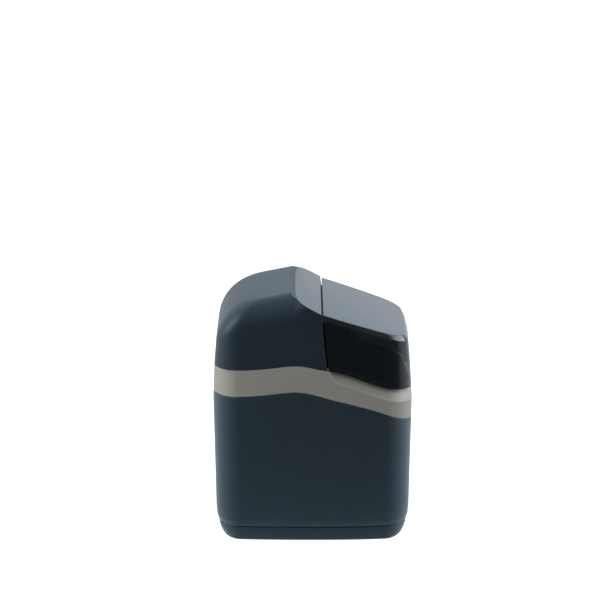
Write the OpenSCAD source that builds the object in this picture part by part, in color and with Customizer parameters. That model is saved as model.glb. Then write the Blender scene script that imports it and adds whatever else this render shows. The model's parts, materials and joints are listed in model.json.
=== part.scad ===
// Cabinet water softener. Millimetres, +Z up, the front faces -Y.
// The origin is the middle of the footprint, on the floor.

/* [Cabinet] */
// Width over the belt, side to side
cabinet_w = 360; // [350:5:400]
// Depth over the belt, front to rear
cabinet_d = 485; // [475:5:525]
// Height of the seam between tank and band, at the rear
seam_h = 372; // [360:1:405]
// Height of the band, at the rear
band_h = 66; // [60:1:76]
// Height of the hood's ridge over the band
hood_h = 179; // [170:1:200]
// Radius of the cabinet's upright corners
corner_r = 64; // [58:1:72]
// Wall of the brine tank
tank_wall = 4; // [3:0.5:5]
// Floor of the brine tank
floor_t = 5; // [4:0.5:7]
// Height of the plinth under the step
plinth_h = 38; // [32:1:44]
// Shadow gap between tank and band
shadow_gap = 2; // [1:0.5:3]

/* [Hood and visor] */
// Wall of the rear hood
hood_wall = 3; // [2.5:0.25:3.5]
// Wall of the smoked window
window_wall = 3; // [2.5:0.25:3.5]
// Thickness of the silver plate and inlay
sheet_t = 1.6; // [1.2:0.1:1.8]
// Gap between hood and visor
visor_gap = 4.2; // [4:0.2:6]
// Height of the bevel round the silver plate
bevel_h = 12; // [9:1:15]
// Width of the bevel round the silver plate
bevel_w = 6; // [4:0.5:8]
// Depth of the finger scoop under the visor
scoop_d = 12; // [9:0.5:13]
// Radius of the hinge pins
hinge_r = 1.2; // [1:0.05:1.3]
// Half the distance between the two hinges
hinge_x = 110; // [90:1:120]

/* [Console] */
// Width of the console
console_w = 250; // [220:2:260]
// Width of the display lens
lens_w = 96; // [80:1:100]
// Height of the display lens
lens_h = 40; // [34:1:40]
// Radius of the push buttons
button_r = 7; // [5:0.5:8]
// Distance between push buttons
button_pitch = 24; // [21:1:30]
// Travel of the push buttons
button_travel = 1.2; // [0.8:0.1:1.3]

/* [Resin tank and valve] */
// Radius of the resin tank
resin_r = 100; // [92:1:101]
// Radius of the two water ports' threads, one inch pipe
thread_r = 16.6; // [16:0.1:17]
// Half the distance between the two water ports
port_x = 32; // [30:0.5:34]
// Radius of the water ports' bores
bore_r = 11; // [9:0.5:11.5]
// Radius of the drain hose barb
drain_r = 6.4; // [5.5:0.1:6.5]
// Teeth on the cam gear
gear_teeth = 48; // [48:12:48]
// Teeth on the motor pinion
pinion_teeth = 12; // [12:12:12]
// Gear module
gear_m = 1.5; // [1.4:0.05:1.5]

/* [Brine well] */
// Radius of the brine well
well_r = 34; // [32:0.5:35]
// Radius of the brine float
float_r = 26; // [22:1:28]
// Travel of the brine float
float_travel = 64; // [40:1:90]
// Radius of the brine tube
tube_r = 4.8; // [4:0.1:5]

/* [Hidden] */
hw = cabinet_w / 2;
hd = cabinet_d / 2;
belt = seam_h - 17;
ridge_z = seam_h + band_h + hood_h;
rim_z = seam_h + band_h;
// seating gap, running clearance
seat = 0.3;
run = 0.08;
// gap between hood and visor: a leaning plane through this point
gap_y = -hd * 21.5 / 242.5;
gap_z = ridge_z - 41;
gap_lean = 5.8;
ridge_y = gap_y + 76;
inlay_fall = 41 / 76;
inlay_a = atan(inlay_fall);
plate_fall = 0.325;
plate_a = atan(plate_fall);
top_fall = 0.195;
side_round = 60;
rear_round = 92;
// deck
deck_z = seam_h + 5;
deck_t = 4;
deck_top = deck_z + deck_t;
// hinge of the visor
hinge_y = gap_y - 10;
hinge_z = gap_z - plate_fall * 10 - 4.7;
knuckle_r = 2.5;
bulk_top = hinge_z - 12;
// console profile: top edge and lower edge of its slanted face
con_y = hinge_y - 4.2;
con_top = [con_y - 17, bulk_top - 5];
con_low = [con_y - 72, bulk_top - 91];
con_t = 3;
face_a = atan2(86, 55);
face_mid = (con_top + con_low) / 2;
// resin tank, valve and ports
tank_y = hd - 144;
neck_z = deck_top + 8;
base_z = floor_t + 8.2;
port_z = rim_z + 31;
panel_y = hd - 33;
port_end = hd - 10;
side_x = 76;
gear_d = gear_m * (gear_teeth + pinion_teeth) / 2 + 0.3;
motor_y = tank_y - gear_d;
// brine well
well_x = -(hw - 65);
well_y = con_low[0] - 25;
tube_z = deck_z - 27;
// overflow ring in the tank's rear wall
overflow_x = hw - 84;
overflow_z = belt - 15;
// reach of the cutting blocks
far = cabinet_d;
// outline resolution: front and rear, corners, sides
NF = 3;
NC = 8;
NS = 12;
H = 2 * NF + 2 * NC + NS + 1;
N = 2 * H - 2;

// edges of the band: height over the seam or the rim, along a depth of 485 less 2.5
LOW = [[-245, -70], [-240, -69], [-225, -64], [-210, -58], [-191, -50.5], [-174, -43.5], [-138, -30.5],
    [-90, -16.5], [-42, -3.5], [-30, 0], [-12, 5], [6, 9.7], [25, 13], [43, 14], [61, 12.5],
    [98, 8], [134, 4], [170, 1.4], [188, 0.4], [207, 0], [240, 0]];
HIGH = [[-245, -60], [-240, -59], [-215, -55], [-196, -50.5], [-178, -46], [-160, -40.5], [-123, -26.5],
    [-87, -12.5], [-50, -1.5], [-38, 0], [-30, 1.6], [-12, 5], [6, 9], [25, 12], [43, 12.6],
    [61, 11.6], [97, 7], [134, 3], [170, 0.6], [206, -0.5], [240, -1]];
SCOOP = [[-245, -88], [-240, -87], [-215, -83], [-196, -78.5], [-178, -74], [-160, -68.5], [-123, -54.5],
    [-87, -40.5], [-59, -30], [-50, -26], [-44, -16], [-40, -4], [-30, -2.4], [-12, 1],
    [6, 5], [25, 8], [43, 8.6], [61, 7.6], [97, 3], [134, -1], [170, -3.4], [206, -4.5],
    [240, -5]];

function mix(a, b, t) = a + (b - a) * t;
function clamp(t) = max(0, min(1, t));
function step_in(t) = let (c = clamp(t)) c * c * (3 - 2 * c);
function depth_at(y) = y * 242.5 / hd - 2.5;
function low_z(y) = seam_h + lookup(depth_at(y), LOW);
function high_z(y) = rim_z + lookup(depth_at(y), HIGH);
function scoop_z(y) = rim_z + lookup(depth_at(y), SCOOP);
function scoop_k(y) = step_in((-41 - depth_at(y)) / 9);
function plate_z(y) = gap_z + plate_fall * (y - gap_y);
function top_z(y) = ridge_z - top_fall * (y - ridge_y);

// how far the walls stand in from the belt at a height
function in_side(z) = z < belt ? (belt - z) * 0.0165
    : lookup(z - belt, [[0, 0], [83, 3], [207, 7], [260, 9]]);
function in_front(z) = z < belt ? (belt - z) * 0.0165
    : lookup(z - belt, [[0, 0], [31, 2.2], [92, 6.5], [138, 11], [200, 18]]);
function in_rear(z) = z < belt ? (belt - z) * 0.0165
    : lookup(z - belt, [[0, 0], [83, 3.5], [120, 6.5], [158, 10], [200, 15], [260, 22]]);

// point k of a rounded outline, anticlockwise from the middle of the front
function half_pt(k, a, bf, br, rf, rr) =
    k < NF ? [k / NF * (a - rf), -bf]
    : k <= NF + NC ? let (t = -90 + 90 * (k - NF) / NC) [a - rf + rf * cos(t), -bf + rf + rf * sin(t)]
    : k < NF + NC + NS ? [a, mix(-bf + rf, br - rr, (k - NF - NC) / NS)]
    : k <= NF + 2 * NC + NS
        ? let (t = 90 * (k - NF - NC - NS) / NC) [a - rr + rr * cos(t), br - rr + rr * sin(t)]
    : [(a - rr) * (1 - (k - NF - 2 * NC - NS) / NF), br];
function outline(k, a, bf, br, rf, rr) = k < H ? half_pt(k, a, bf, br, rf, rr)
    : let (p = half_pt(N - k, a, bf, br, rf, rr)) [-p[0], p[1]];
// sides narrow towards the front and a little towards the rear
function side_bow(y, z) = y < 0 ? 19 + 14 * clamp((z - belt) / 170) : 12;
function bent(p, z) = [
    p[0] * (1 - side_bow(p[1], z) / hw * pow(abs(p[1]) / hd, 2.5)),
    p[1] * (1 - (p[1] < 0 ? 6 : 2) / hd * pow(p[0] / hw, 2))
];
function ring_pt(k, z, a, bf, br, rf, rr) = concat(bent(outline(k, a, bf, br, rf, rr), z), [z]);
// the cabinet's wall at a height, a distance inside it
function wall_pt(k, z, d) = ring_pt(k, z, hw - in_side(z) - d, hd - in_front(z) - d,
    hd - in_rear(z) - d, corner_r - in_front(z) - d, corner_r - in_rear(z) - d);
function wall_ring(z, d) = [for (k = [0:N - 1]) wall_pt(k, z, d)];
function foot_ring(z, ds, de) =
    [for (k = [0:N - 1]) ring_pt(k, z, hw - ds, hd - de, hd - de, corner_r - de, corner_r - de)];
// a ring whose height and depth in the wall follow the depth of the cabinet
function wave_ring(zf, df) = [for (k = [0:N - 1])
    let (y = wall_pt(k, belt, 0)[1]) wall_pt(k, zf(y), df(y))];
function front_y(z, x, d) = -(hd - in_front(z) - d) * (1 - 6 / hd * pow(x / hw, 2));

// hood: outline with a short front that the gap cuts off
hood_front = -gap_y + 40;
function hood_w(k) = let (i = k < H ? k : N - k) clamp((i - NF - NC - NS) / NC);
// the shoulder is tighter beside the slanted face
function side_v(k) = let (y = hood_ring_pt(k, rim_z + 80, 0)[1])
    side_round * mix(0.7, 1, step_in((y - ridge_y + 40) / 40));
function hood_v(k) = mix(side_v(k), rear_round, step_in(hood_w(k)));
function hood_ring_pt(k, z, d) = ring_pt(k, z, hw - in_side(z) - d, hood_front + d,
    hd - in_rear(z) - d, 6, corner_r - in_rear(z) - d);
function hood_wall_z(k) = top_z(hood_ring_pt(k, rim_z + 80, 0)[1]) - hood_v(k);
function hood_pt(k, t, d) = let (
    zw = hood_wall_z(k),
    c = 1 - cos(t),
    a = hw - in_side(zw) - d - (side_v(k) - d) * c,
    br = hd - in_rear(zw) - d - (rear_round - d) * c,
    rr = corner_r - in_rear(zw) - d - c * 20,
    p = bent(outline(k, a, hood_front + d, br, 6, rr), zw))
    [p[0], p[1], top_z(p[1]) - d - (hood_v(k) - d) * (1 - sin(t))];
function hood_edge_ring(drop, d) = [for (k = [0:N - 1])
    let (y = hood_ring_pt(k, rim_z, 0)[1]) hood_ring_pt(k, high_z(y) + drop, d)];
function hood_mid_ring(d) = [for (k = [0:N - 1])
    let (y = hood_ring_pt(k, rim_z, 0)[1]) hood_ring_pt(k, mix(high_z(y), hood_wall_z(k), 0.55), d)];

// visor: outline with a short rear that the gap cuts off
function visor_ring_pt(k, z, d) = let (p = ring_pt(k, z, hw - in_side(z) - d,
    hd - in_front(z) - d, gap_y + 26 + d, corner_r - in_front(z) - d, 5))
    [p[0], p[1] + (p[1] > gap_y + 20 ? 8 * (1 - pow(p[0] / hw, 2)) : 0), z];
function visor_y(k) = visor_ring_pt(k, gap_z - 60, 0)[1];
function visor_edge_ring(drop, d) =
    [for (k = [0:N - 1]) visor_ring_pt(k, high_z(visor_y(k)) + drop, d)];
function visor_wall_ring(t, drop, d) = [for (k = [0:N - 1])
    let (y = visor_y(k)) visor_ring_pt(k, mix(high_z(y), plate_z(y) - drop, t), d)];
function visor_top_ring(drop, d) = [for (k = [0:N - 1])
    let (z = plate_z(visor_y(k)) - drop, p = visor_ring_pt(k, z, d))
    [p[0], p[1], plate_z(p[1]) - drop]];

// skin over rings that go up the outside, closed by zipping left to right
function band_faces(m, loop) = [for (j = [0:m - (loop ? 1 : 2)]) for (k = [0:N - 1])
    let (i = (k + 1) % N, q = (j + 1) % m)
    each [[j * N + k, q * N + k, q * N + i], [j * N + k, q * N + i, j * N + i]]];
function zip_faces(o, up) = [for (k = [0:H - 2])
    let (f = k == 0 ? [0, 1, N - 1] : k == H - 2 ? [k, k + 1, N - k] : [k, k + 1, N - k - 1, N - k])
    [for (i = [0:len(f) - 1]) o + f[up ? len(f) - 1 - i : i]]];
module loft(rings) {
    m = len(rings);
    polyhedron(points = [for (r = rings) each r],
        faces = concat(band_faces(m, false), zip_faces(0, false), zip_faces((m - 1) * N, true)));
}
module loop_loft(rings) {
    polyhedron(points = [for (r = rings) each r], faces = band_faces(len(rings), true));
}

module behind_gap(off) {
    translate([0, gap_y, gap_z]) rotate([-gap_lean, 0, 0])
        translate([-far, off, -far]) cube(2 * far);
}
module before_gap(off) {
    translate([0, gap_y, gap_z]) rotate([-gap_lean, 0, 0])
        translate([-far, off - 2 * far, -far]) cube(2 * far);
}
module above_slope(drop) {
    translate([0, gap_y, gap_z]) rotate([inlay_a, 0, 0])
        translate([-far, -far, -drop]) cube(2 * far);
}
module along_y(x, y, z, r, h) {
    translate([x, y, z]) rotate([-90, 0, 0]) cylinder(r = r, h = h, $fn = 48);
}
module along_x(x, y, z, r, h) {
    translate([x, y, z]) rotate([0, 90, 0]) cylinder(r = r, h = h, $fn = 48);
}
module up(x, y, z, r, h) {
    translate([x, y, z]) cylinder(r = r, h = h, $fn = 48);
}
module on_face(u, v) {
    translate([0, face_mid[0], face_mid[1]]) rotate([face_a, 0, 0]) translate([u, v, 0]) children();
}

module brine_tank() {
    w = tank_wall;
    color("#20272d") difference() {
        loft([
            foot_ring(0, 22, 36),
            foot_ring(3, 18.5, 28),
            foot_ring(8, 16.5, 22.5),
            foot_ring(15, 15.2, 18.3),
            foot_ring(24, 14.3, 15.2),
            foot_ring(plinth_h, 14, 14),
            foot_ring(plinth_h + 0.8, 15.5, 15.5),
            foot_ring(plinth_h + 2.2, 15.3, 15.3),
            foot_ring(plinth_h + 4, 11.5, 11.5),
            foot_ring(plinth_h + 8, 8.6, 8.6),
            foot_ring(plinth_h + 15, 6.6, 6.6),
            wall_ring(plinth_h + 35, 0),
            wall_ring(belt - 90, 0),
            wave_ring(function(y) low_z(y) - shadow_gap - 1.2, function(y) 0),
            wave_ring(function(y) low_z(y) - shadow_gap, function(y) 0.8),
            wave_ring(function(y) low_z(y) - shadow_gap, function(y) w),
            wall_ring(belt - 90, w),
            wall_ring(plinth_h + 35, w),
            foot_ring(plinth_h + 15, 8 + w, 8 + w),
            foot_ring(plinth_h + 4, 15.5 + w, 15.5 + w),
            foot_ring(24, 15.5 + w, 16 + w),
            foot_ring(12, 17 + w, 20 + w),
            foot_ring(floor_t, 19 + w, 26 + w)
        ]);
        along_y(overflow_x, hd - 30, overflow_z, 8, 60);
    }
}

module rim_band() {
    t = hood_wall + 0.9;
    s = scoop_d;
    ledge = s + 10;
    skirt = tank_wall + seat + 0.9;
    color("#8b8c86") loop_loft([
        wave_ring(function(y) low_z(y), function(y) 0.8),
        wave_ring(function(y) low_z(y) + 1.4, function(y) 0),
        wave_ring(function(y) scoop_z(y) - 1.5, function(y) 0),
        wave_ring(function(y) mix(scoop_z(y), high_z(y), 0.45), function(y) scoop_k(y) * s * 0.62),
        wave_ring(function(y) mix(scoop_z(y), high_z(y), 0.9), function(y) scoop_k(y) * s * 0.95),
        wave_ring(function(y) high_z(y), function(y) mix(0.6, s, scoop_k(y))),
        wave_ring(function(y) high_z(y), function(y) mix(t, s + 0.5, scoop_k(y))),
        wave_ring(function(y) high_z(y) + 6, function(y) mix(t, s + 0.5, scoop_k(y)) + 0.3),
        wave_ring(function(y) high_z(y) + 6, function(y) mix(t, s + 0.5, scoop_k(y)) + 3.2),
        wave_ring(function(y) deck_z, function(y) s + 4),
        wave_ring(function(y) deck_z, function(y) ledge),
        wave_ring(function(y) deck_z - 4, function(y) ledge),
        wave_ring(function(y) deck_z - 9, function(y) s + 4),
        wave_ring(function(y) min(low_z(y) - 12, deck_z - 14), function(y) skirt + 3.3),
        wave_ring(function(y) min(low_z(y) - 12, deck_z - 14), function(y) skirt),
        wave_ring(function(y) low_z(y), function(y) skirt)
    ]);
}

// deck under the lids, with the salt opening, the valve hole and the tube hole
module top_deck() {
    salt_y = con_low[0] - 10;
    color("#3a4148") translate([0, 0, deck_z]) difference() {
        linear_extrude(deck_t) polygon([for (p = wall_ring(deck_z, scoop_d + 4.5)) [p[0], p[1]]]);
        translate([0, 0, -1]) linear_extrude(deck_t + 2) polygon([
            [-(hw - 30), salt_y], [-(hw - 30), -(hd - 68)], [-(hw - 58), -(hd - 28)],
            [hw - 58, -(hd - 28)], [hw - 30, -(hd - 68)], [hw - 30, salt_y]]);
        up(0, tank_y, -1, 56, deck_t + 2);
        up(well_x, tank_y - 6, -1, tube_r + 0.6, deck_t + 2);
    }
}

// wall between salt space and valve space, with the two hinge lugs
module bulkhead() {
    color("#2b3238") difference() {
        union() {
            translate([-(hw - 24), hinge_y - 4, deck_top]) cube([cabinet_w - 48, 4, bulk_top - deck_top]);
            translate([-(hw - 14), hinge_y - 4, bulk_top - 3]) cube([cabinet_w - 28, 24, 3]);
            for (s = [-1, 1]) {
                along_x(s * hinge_x - 7.5, hinge_y, hinge_z, knuckle_r, 15);
                translate([s * hinge_x - 7.5, hinge_y - knuckle_r, bulk_top - 2])
                    cube([15, 2 * knuckle_r, hinge_z - bulk_top + 2]);
            }
        }
        for (s = [-1, 1]) along_x(s * hinge_x - 9, hinge_y, hinge_z, hinge_r + run, 18);
    }
}

module console_housing() {
    out = [[con_y, deck_top], [con_y, con_top[1]], con_top, con_low, [con_low[0], deck_top]];
    in = [[con_y + 1, deck_top - 1], [con_y + 1, con_top[1] - con_t], con_top + [1.65, -con_t],
        con_low + [con_t, -0.5], [con_low[0] + con_t, deck_top - 1]];
    color("#23282d") difference() {
        union() {
            difference() {
                translate([-console_w / 2, 0, 0]) rotate([90, 0, 90]) linear_extrude(console_w) polygon(out);
                translate([-console_w / 2 + con_t, 0, 0]) rotate([90, 0, 90])
                    linear_extrude(console_w - 2 * con_t) polygon(in);
            }
            for (u = [-80, 80]) for (v = [-38, 44]) on_face(u, v) up(0, 0, -9.2, 4, 7.2);
        }
        on_face(0, 18) translate([-lens_w / 2, -lens_h / 2, -5]) cube([lens_w, lens_h, 7]);
        for (i = [-1.5:1:1.5]) on_face(i * button_pitch, -26) up(0, 0, -5, button_r + 0.3, 8);
    }
}

module display_lens() {
    color("#0d1114") on_face(0, 18) translate([-lens_w / 2 + 0.2, -lens_h / 2 + 0.2, -3])
        cube([lens_w - 0.4, lens_h - 0.4, 2.8]);
}

module display_module() {
    color("#5d6b5a") on_face(0, 18) translate([-lens_w / 2 - 4, -lens_h / 2 - 4, -9.2])
        cube([lens_w + 8, lens_h + 8, 6]);
}

module control_board() {
    color("#2c6b45") on_face(0, 4) translate([-85, -46, -11]) cube([170, 92, 1.6]);
}

module switch_set() {
    color("#b9bcc0") for (i = [-1.5:1:1.5]) on_face(i * button_pitch, -26)
        translate([-3, -3, -9.4]) cube([6, 6, 0.9]);
}

module button(i) {
    color("#c9ccd0") on_face(i * button_pitch, -26) {
        up(0, 0, -3.4, button_r, 5);
        up(0, 0, -5, button_r + 2, 1.7);
        up(0, 0, -7, 2.5, 2.5);
    }
}
module button_back() button(-1.5);
module button_down() button(-0.5);
module button_up() button(0.5);
module button_enter() button(1.5);

module hood_form(d, drop) {
    loft(concat([hood_edge_ring(drop, d), hood_mid_ring(d)],
        [for (t = [0:15:90]) [for (k = [0:N - 1]) hood_pt(k, t, d)]]));
}

// the inlay's outline in plan, laid on the slanted face
module inlay_shape(grow) {
    a = hw + 4 + grow;
    b = 63 + grow;
    polygon([for (t = [0:5:180])
        [a * sign(cos(t)) * sqrt(abs(cos(t))), (1.5 + b * sqrt(max(0, sin(t)))) / cos(inlay_a)]]);
}
module on_slope(z) {
    translate([0, gap_y, gap_z]) rotate([inlay_a, 0, 0]) translate([0, 0, z]) children();
}

module rear_hood() {
    color("#242c33") difference() {
        hood_form(0, seat + 0.2);
        difference() {
            hood_form(hood_wall, -6);
            above_slope(hood_wall);
        }
        above_slope(0);
        before_gap(visor_gap / 2);
        on_slope(-sheet_t) linear_extrude(10) inlay_shape(0.2);
        translate([-92, hd - 60, rim_z - 20]) cube([184, 80, port_z + 41 - rim_z + 20]);
    }
}

module hood_inlay() {
    color("#8793a0") difference() {
        intersection() {
            on_slope(-sheet_t) linear_extrude(sheet_t) inlay_shape(0);
            hood_form(0.25, seat);
        }
        before_gap(visor_gap / 2 + 0.2);
    }
}

module visor_form(d, drop) {
    lift = (sheet_t + 0.1 + d) / cos(plate_a);
    loft([
        visor_edge_ring(drop, d),
        visor_wall_ring(0.5, bevel_h + d, d),
        visor_wall_ring(1, bevel_h + d, d),
        visor_top_ring(lift, d + bevel_w)
    ]);
}

module visor_window() {
    foot_z = high_z(-hd) + 9.3;
    foot_y = front_y(foot_z, 70, window_wall - 0.4);
    color("#14171a") difference() {
        union() {
            difference() {
                visor_form(0, 0.5);
                visor_form(window_wall, -6);
                behind_gap(-visor_gap / 2);
            }
            for (s = [-1, 1]) {
                translate([s * 70 - 12, foot_y, foot_z]) cube([24, scoop_d + 1, 6]);
                for (x = [s * hinge_x - 17, s * hinge_x + 9])
                    along_x(x, hinge_y, hinge_z, knuckle_r, 8);
            }
        }
        for (s = [-1, 1]) {
            translate([s * hinge_x - 8.2, hinge_y - 5.5, hinge_z - 20]) cube([16.4, 30, 40]);
            along_x(s * hinge_x - 20, hinge_y, hinge_z, hinge_r + 0.05, 40);
        }
    }
}

module visor_plate() {
    color("#828d95") difference() {
        translate([0, gap_y, gap_z]) rotate([plate_a, 0, 0]) translate([0, 0, -sheet_t])
            linear_extrude(sheet_t) polygon([for (p = visor_top_ring(0, bevel_w + 0.4))
                [p[0], (p[1] - gap_y) / cos(plate_a)]]);
        behind_gap(-visor_gap / 2);
    }
}

module hinge_pins() {
    color("#b5b8bb") for (s = [-1, 1]) along_x(s * hinge_x - 17, hinge_y, hinge_z, hinge_r, 34);
}

// rubber pads on the band's lip that the visor rests on
module visor_pads() {
    z = high_z(-hd) + 6;
    color("#1a1a1a") for (s = [-1, 1])
        translate([s * 70 - 11, front_y(z, 70, scoop_d + 1.4), z + 0.5]) cube([22, 2, 2.6]);
}

module resin_tank() {
    b = base_z;
    t = neck_z;
    r = resin_r;
    color("#3d5c74") translate([0, tank_y, 0]) rotate_extrude($fn = 96) polygon([
        [0, b], [r - 45, b], [r - 20, b + 12], [r - 6, b + 30], [r, b + 52], [r, t - 84],
        [r - 3, t - 64], [r - 12, t - 46], [r - 28, t - 30], [r - 48, t - 19], [38, t - 14],
        [31, t - 12], [31, t - 6], [40, t - 6], [40, t], [27, t], [27, t - 14], [36, t - 18],
        [r - 50, t - 23], [r - 31, t - 34], [r - 15, t - 49], [r - 6, t - 66], [r - 3, t - 85],
        [r - 3, b + 53], [r - 9, b + 32], [r - 22, b + 15.5], [r - 46, b + 3], [0, b + 3]]);
}

module tank_boot() {
    color("#191b1d") translate([0, tank_y, 0]) difference() {
        up(0, 0, floor_t + 0.2, resin_r + 3, 55);
        up(0, 0, base_z - 0.2, resin_r + 0.3, 60);
    }
}

module riser_tube() {
    color("#d8d9d6") difference() {
        up(0, tank_y, base_z + 14, 13.3, port_z - 16 - base_z - 14);
        up(0, tank_y, base_z + 13, 11, port_z - base_z);
    }
}

module lower_basket() {
    color("#e6e3da") difference() {
        up(0, tank_y, base_z + 3.3, 34, 36);
        up(0, tank_y, base_z + 13.7, 13.6, 40);
        up(0, tank_y, base_z + 6, 9, 20);
        for (z = [6:5:31]) translate([0, tank_y, base_z + z]) difference() {
            cylinder(r = 36, h = 1.2, $fn = 64);
            translate([0, 0, -1]) cylinder(r = 31, h = 4, $fn = 64);
        }
    }
}

module upper_basket() {
    color("#e6e3da") difference() {
        up(0, tank_y, neck_z - 13, 26.6, 12.7);
        up(0, tank_y, neck_z - 14, 13.6, 20);
    }
}

module resin_bed() {
    color("#8a4f24") translate([0, tank_y, 0]) difference() {
        union() {
            up(0, 0, base_z + 40, resin_r - 10, 20);
            up(0, 0, base_z + 54, resin_r - 3.3, neck_z - 95 - base_z - 54);
        }
        up(0, 0, base_z, 13.6, neck_z);
    }
}

module neck_seal() {
    color("#141414") translate([0, tank_y, neck_z + 1.65]) rotate_extrude($fn = 72)
        translate([33, 0]) circle(r = 1.6, $fn = 24);
}

// two half clamps round the flanges of tank and valve
module neck_clamp() {
    z = neck_z;
    color("#2a2f33") translate([0, tank_y, 0]) difference() {
        union() {
            rotate_extrude($fn = 72) polygon([[31.5, z - 10], [47, z - 10], [47, z + 10.5], [31, z + 10.5],
                [31, z + 6.4], [40.4, z + 6.4], [40.4, z - 6.4], [31.5, z - 6.4]]);
            for (s = [-1, 1]) translate([s * 52 - 8, -8, z - 8]) cube([16, 16, 16]);
        }
        for (s = [-1, 1]) translate([s * 52 - 14, -1, z - 20]) cube([28, 2, 40]);
        up(0, 0, z - 6.4, 40.4, 12.8);
    }
}

module valve_body() {
    b = neck_z + seat;
    color("#33393f") translate([0, tank_y, 0]) difference() {
        union() {
            up(0, 0, b, 40, 5.8);
            up(0, 0, b, 30, port_z - 20 - b);
            translate([-60, -34, port_z - 22]) cube([120, 88, 44]);
            up(0, 0, port_z + 10, 60, 32);
            up(0, 0, port_z + 34, 64, 8);
            for (s = [-1, 1]) {
                along_y(s * port_x, 40, port_z, 19, 60);
                along_y(s * port_x, 94, port_z, 22, 6);
            }
            along_y(side_x, -10, port_z, 11, 94);
            translate([50, -10, port_z - 8]) cube([side_x - 50, 50, 16]);
        }
        up(0, 0, port_z + 24, 50, 30);
        for (s = [-1, 1]) along_y(s * port_x, 30, port_z, 14.2, 80);
        along_y(side_x, 50, port_z, drain_r + 0.2, 40);
        up(0, 0, b - 1, 13.6, port_z - 14 - b + 1);
        translate([0, 0, b - 1]) difference() {
            cylinder(r = 34.9, h = 4.2, $fn = 64);
            translate([0, 0, -1]) cylinder(r = 31.1, h = 8, $fn = 64);
        }
        for (a = [30:60:330]) rotate([0, 0, a]) up(57, 0, port_z + 30, 1.95, 20);
    }
}

module rotor_seal() {
    color("#202020") translate([0, tank_y, port_z + 24.2]) difference() {
        cylinder(r = 46, h = 3.5, $fn = 64);
        translate([0, 0, -1]) cylinder(r = 16, h = 6, $fn = 48);
        for (a = [0:60:300]) rotate([0, 0, a]) translate([31, 0, -1]) cylinder(r = 9, h = 6, $fn = 40);
    }
}

module valve_rotor() {
    color("#c8cbc6") translate([0, tank_y, 0]) difference() {
        union() {
            up(0, 0, port_z + 28, 49.4, 10.2);
            up(0, 0, port_z + 38, 8, 26);
        }
        for (a = [0, 120]) rotate([0, 0, a]) up(31, 0, port_z + 27, 8.5, 6);
    }
}

module wave_washer() {
    color("#c0c4c8") translate([0, tank_y, port_z + 38.5]) difference() {
        cylinder(r = 40, h = 3.3, $fn = 64);
        translate([0, 0, -1]) cylinder(r = 30, h = 6, $fn = 64);
    }
}

module valve_cover() {
    color("#3b4248") translate([0, tank_y, 0]) difference() {
        union() {
            up(0, 0, port_z + 42.2, 64, 7.8);
            up(0, 0, port_z + 49, 15, 5);
        }
        up(0, 0, port_z + 40, 8 + run, 20);
        for (a = [30:60:330]) rotate([0, 0, a]) up(57, 0, port_z + 40, 2.2, 20);
    }
}

module cover_screws() {
    color("#b5b8bb") translate([0, tank_y, 0]) for (a = [30:60:330]) rotate([0, 0, a]) {
        up(57, 0, port_z + 32, 1.85, 18.6);
        up(57, 0, port_z + 50.2, 3.8, 3);
    }
}

// straight-flanked teeth with backlash
function tooth(n, m, i) = let (
    s = 360 / n, c = i * s, ro = m * (n + 1.9) / 2, rp = m * n / 2, ri = m * (n - 2.5) / 2)
    [for (q = [[ri, -0.38], [rp, -0.215], [ro, -0.1], [ro, 0.1], [rp, 0.215], [ri, 0.38]])
        [q[0] * cos(c + q[1] * s), q[0] * sin(c + q[1] * s)]];
module spur(n, m, h) {
    linear_extrude(h) polygon([for (i = [0:n - 1]) each tooth(n, m, i)]);
}

module cam_gear() {
    color("#e8e6df") translate([0, tank_y, 0]) difference() {
        union() {
            translate([0, 0, port_z + 54.4]) spur(gear_teeth, gear_m, 10);
            up(0, 0, port_z + 64, 28, 4.6);
        }
        up(0, 0, port_z + 50, 8.03, 14.3);
        for (a = [0:90:270]) rotate([0, 0, a]) translate([24, -3, port_z + 65]) cube([8, 6, 6]);
        for (a = [45:90:315]) rotate([0, 0, a]) up(20, 0, port_z + 50, 5, 30);
    }
}

module motor_pinion() {
    color("#c9a54a") translate([0, motor_y, 0]) union() {
        translate([0, 0, port_z + 54.8]) rotate([0, 0, 15]) spur(pinion_teeth, gear_m, 9);
        up(0, 0, port_z + 53, 3, 28);
    }
}

module motor_bracket() {
    color("#9aa0a5") translate([0, motor_y, 0]) difference() {
        union() {
            translate([-48, -20, port_z + 73]) cube([96, 38, 3]);
            for (s = [-1, 1]) translate([s * 42 - 4, -4, port_z + 50.2]) cube([8, 8, 23]);
        }
        up(0, 0, port_z + 70, 5, 10);
        for (s = [-1, 1]) up(s * 31, 0, port_z + 70, 1.6, 10);
    }
}

module drive_motor() {
    color("#22262a") translate([0, motor_y, 0]) difference() {
        union() {
            up(0, 0, port_z + 76.2, 24, 20);
            up(0, 0, port_z + 96, 19, 2);
            translate([-36, -6, port_z + 76.2]) cube([72, 12, 2.5]);
        }
        up(0, 0, port_z + 75, 3 + run, 8);
        for (s = [-1, 1]) up(s * 31, 0, port_z + 75, 1.7, 5);
    }
}

module bracket_screws() {
    color("#b5b8bb") translate([0, motor_y, 0]) for (s = [-1, 1]) {
        up(s * 31, 0, port_z + 70.5, 1.5, 8.6);
        up(s * 31, 0, port_z + 78.9, 3, 2);
    }
}

module position_switch() {
    color("#1d1f22") translate([0, tank_y, port_z + 50.2]) union() {
        translate([8, 43, 0]) cube([20, 8, 12]);
        translate([10, 41.5, 8]) cube([14, 2, 1]);
    }
}

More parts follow.
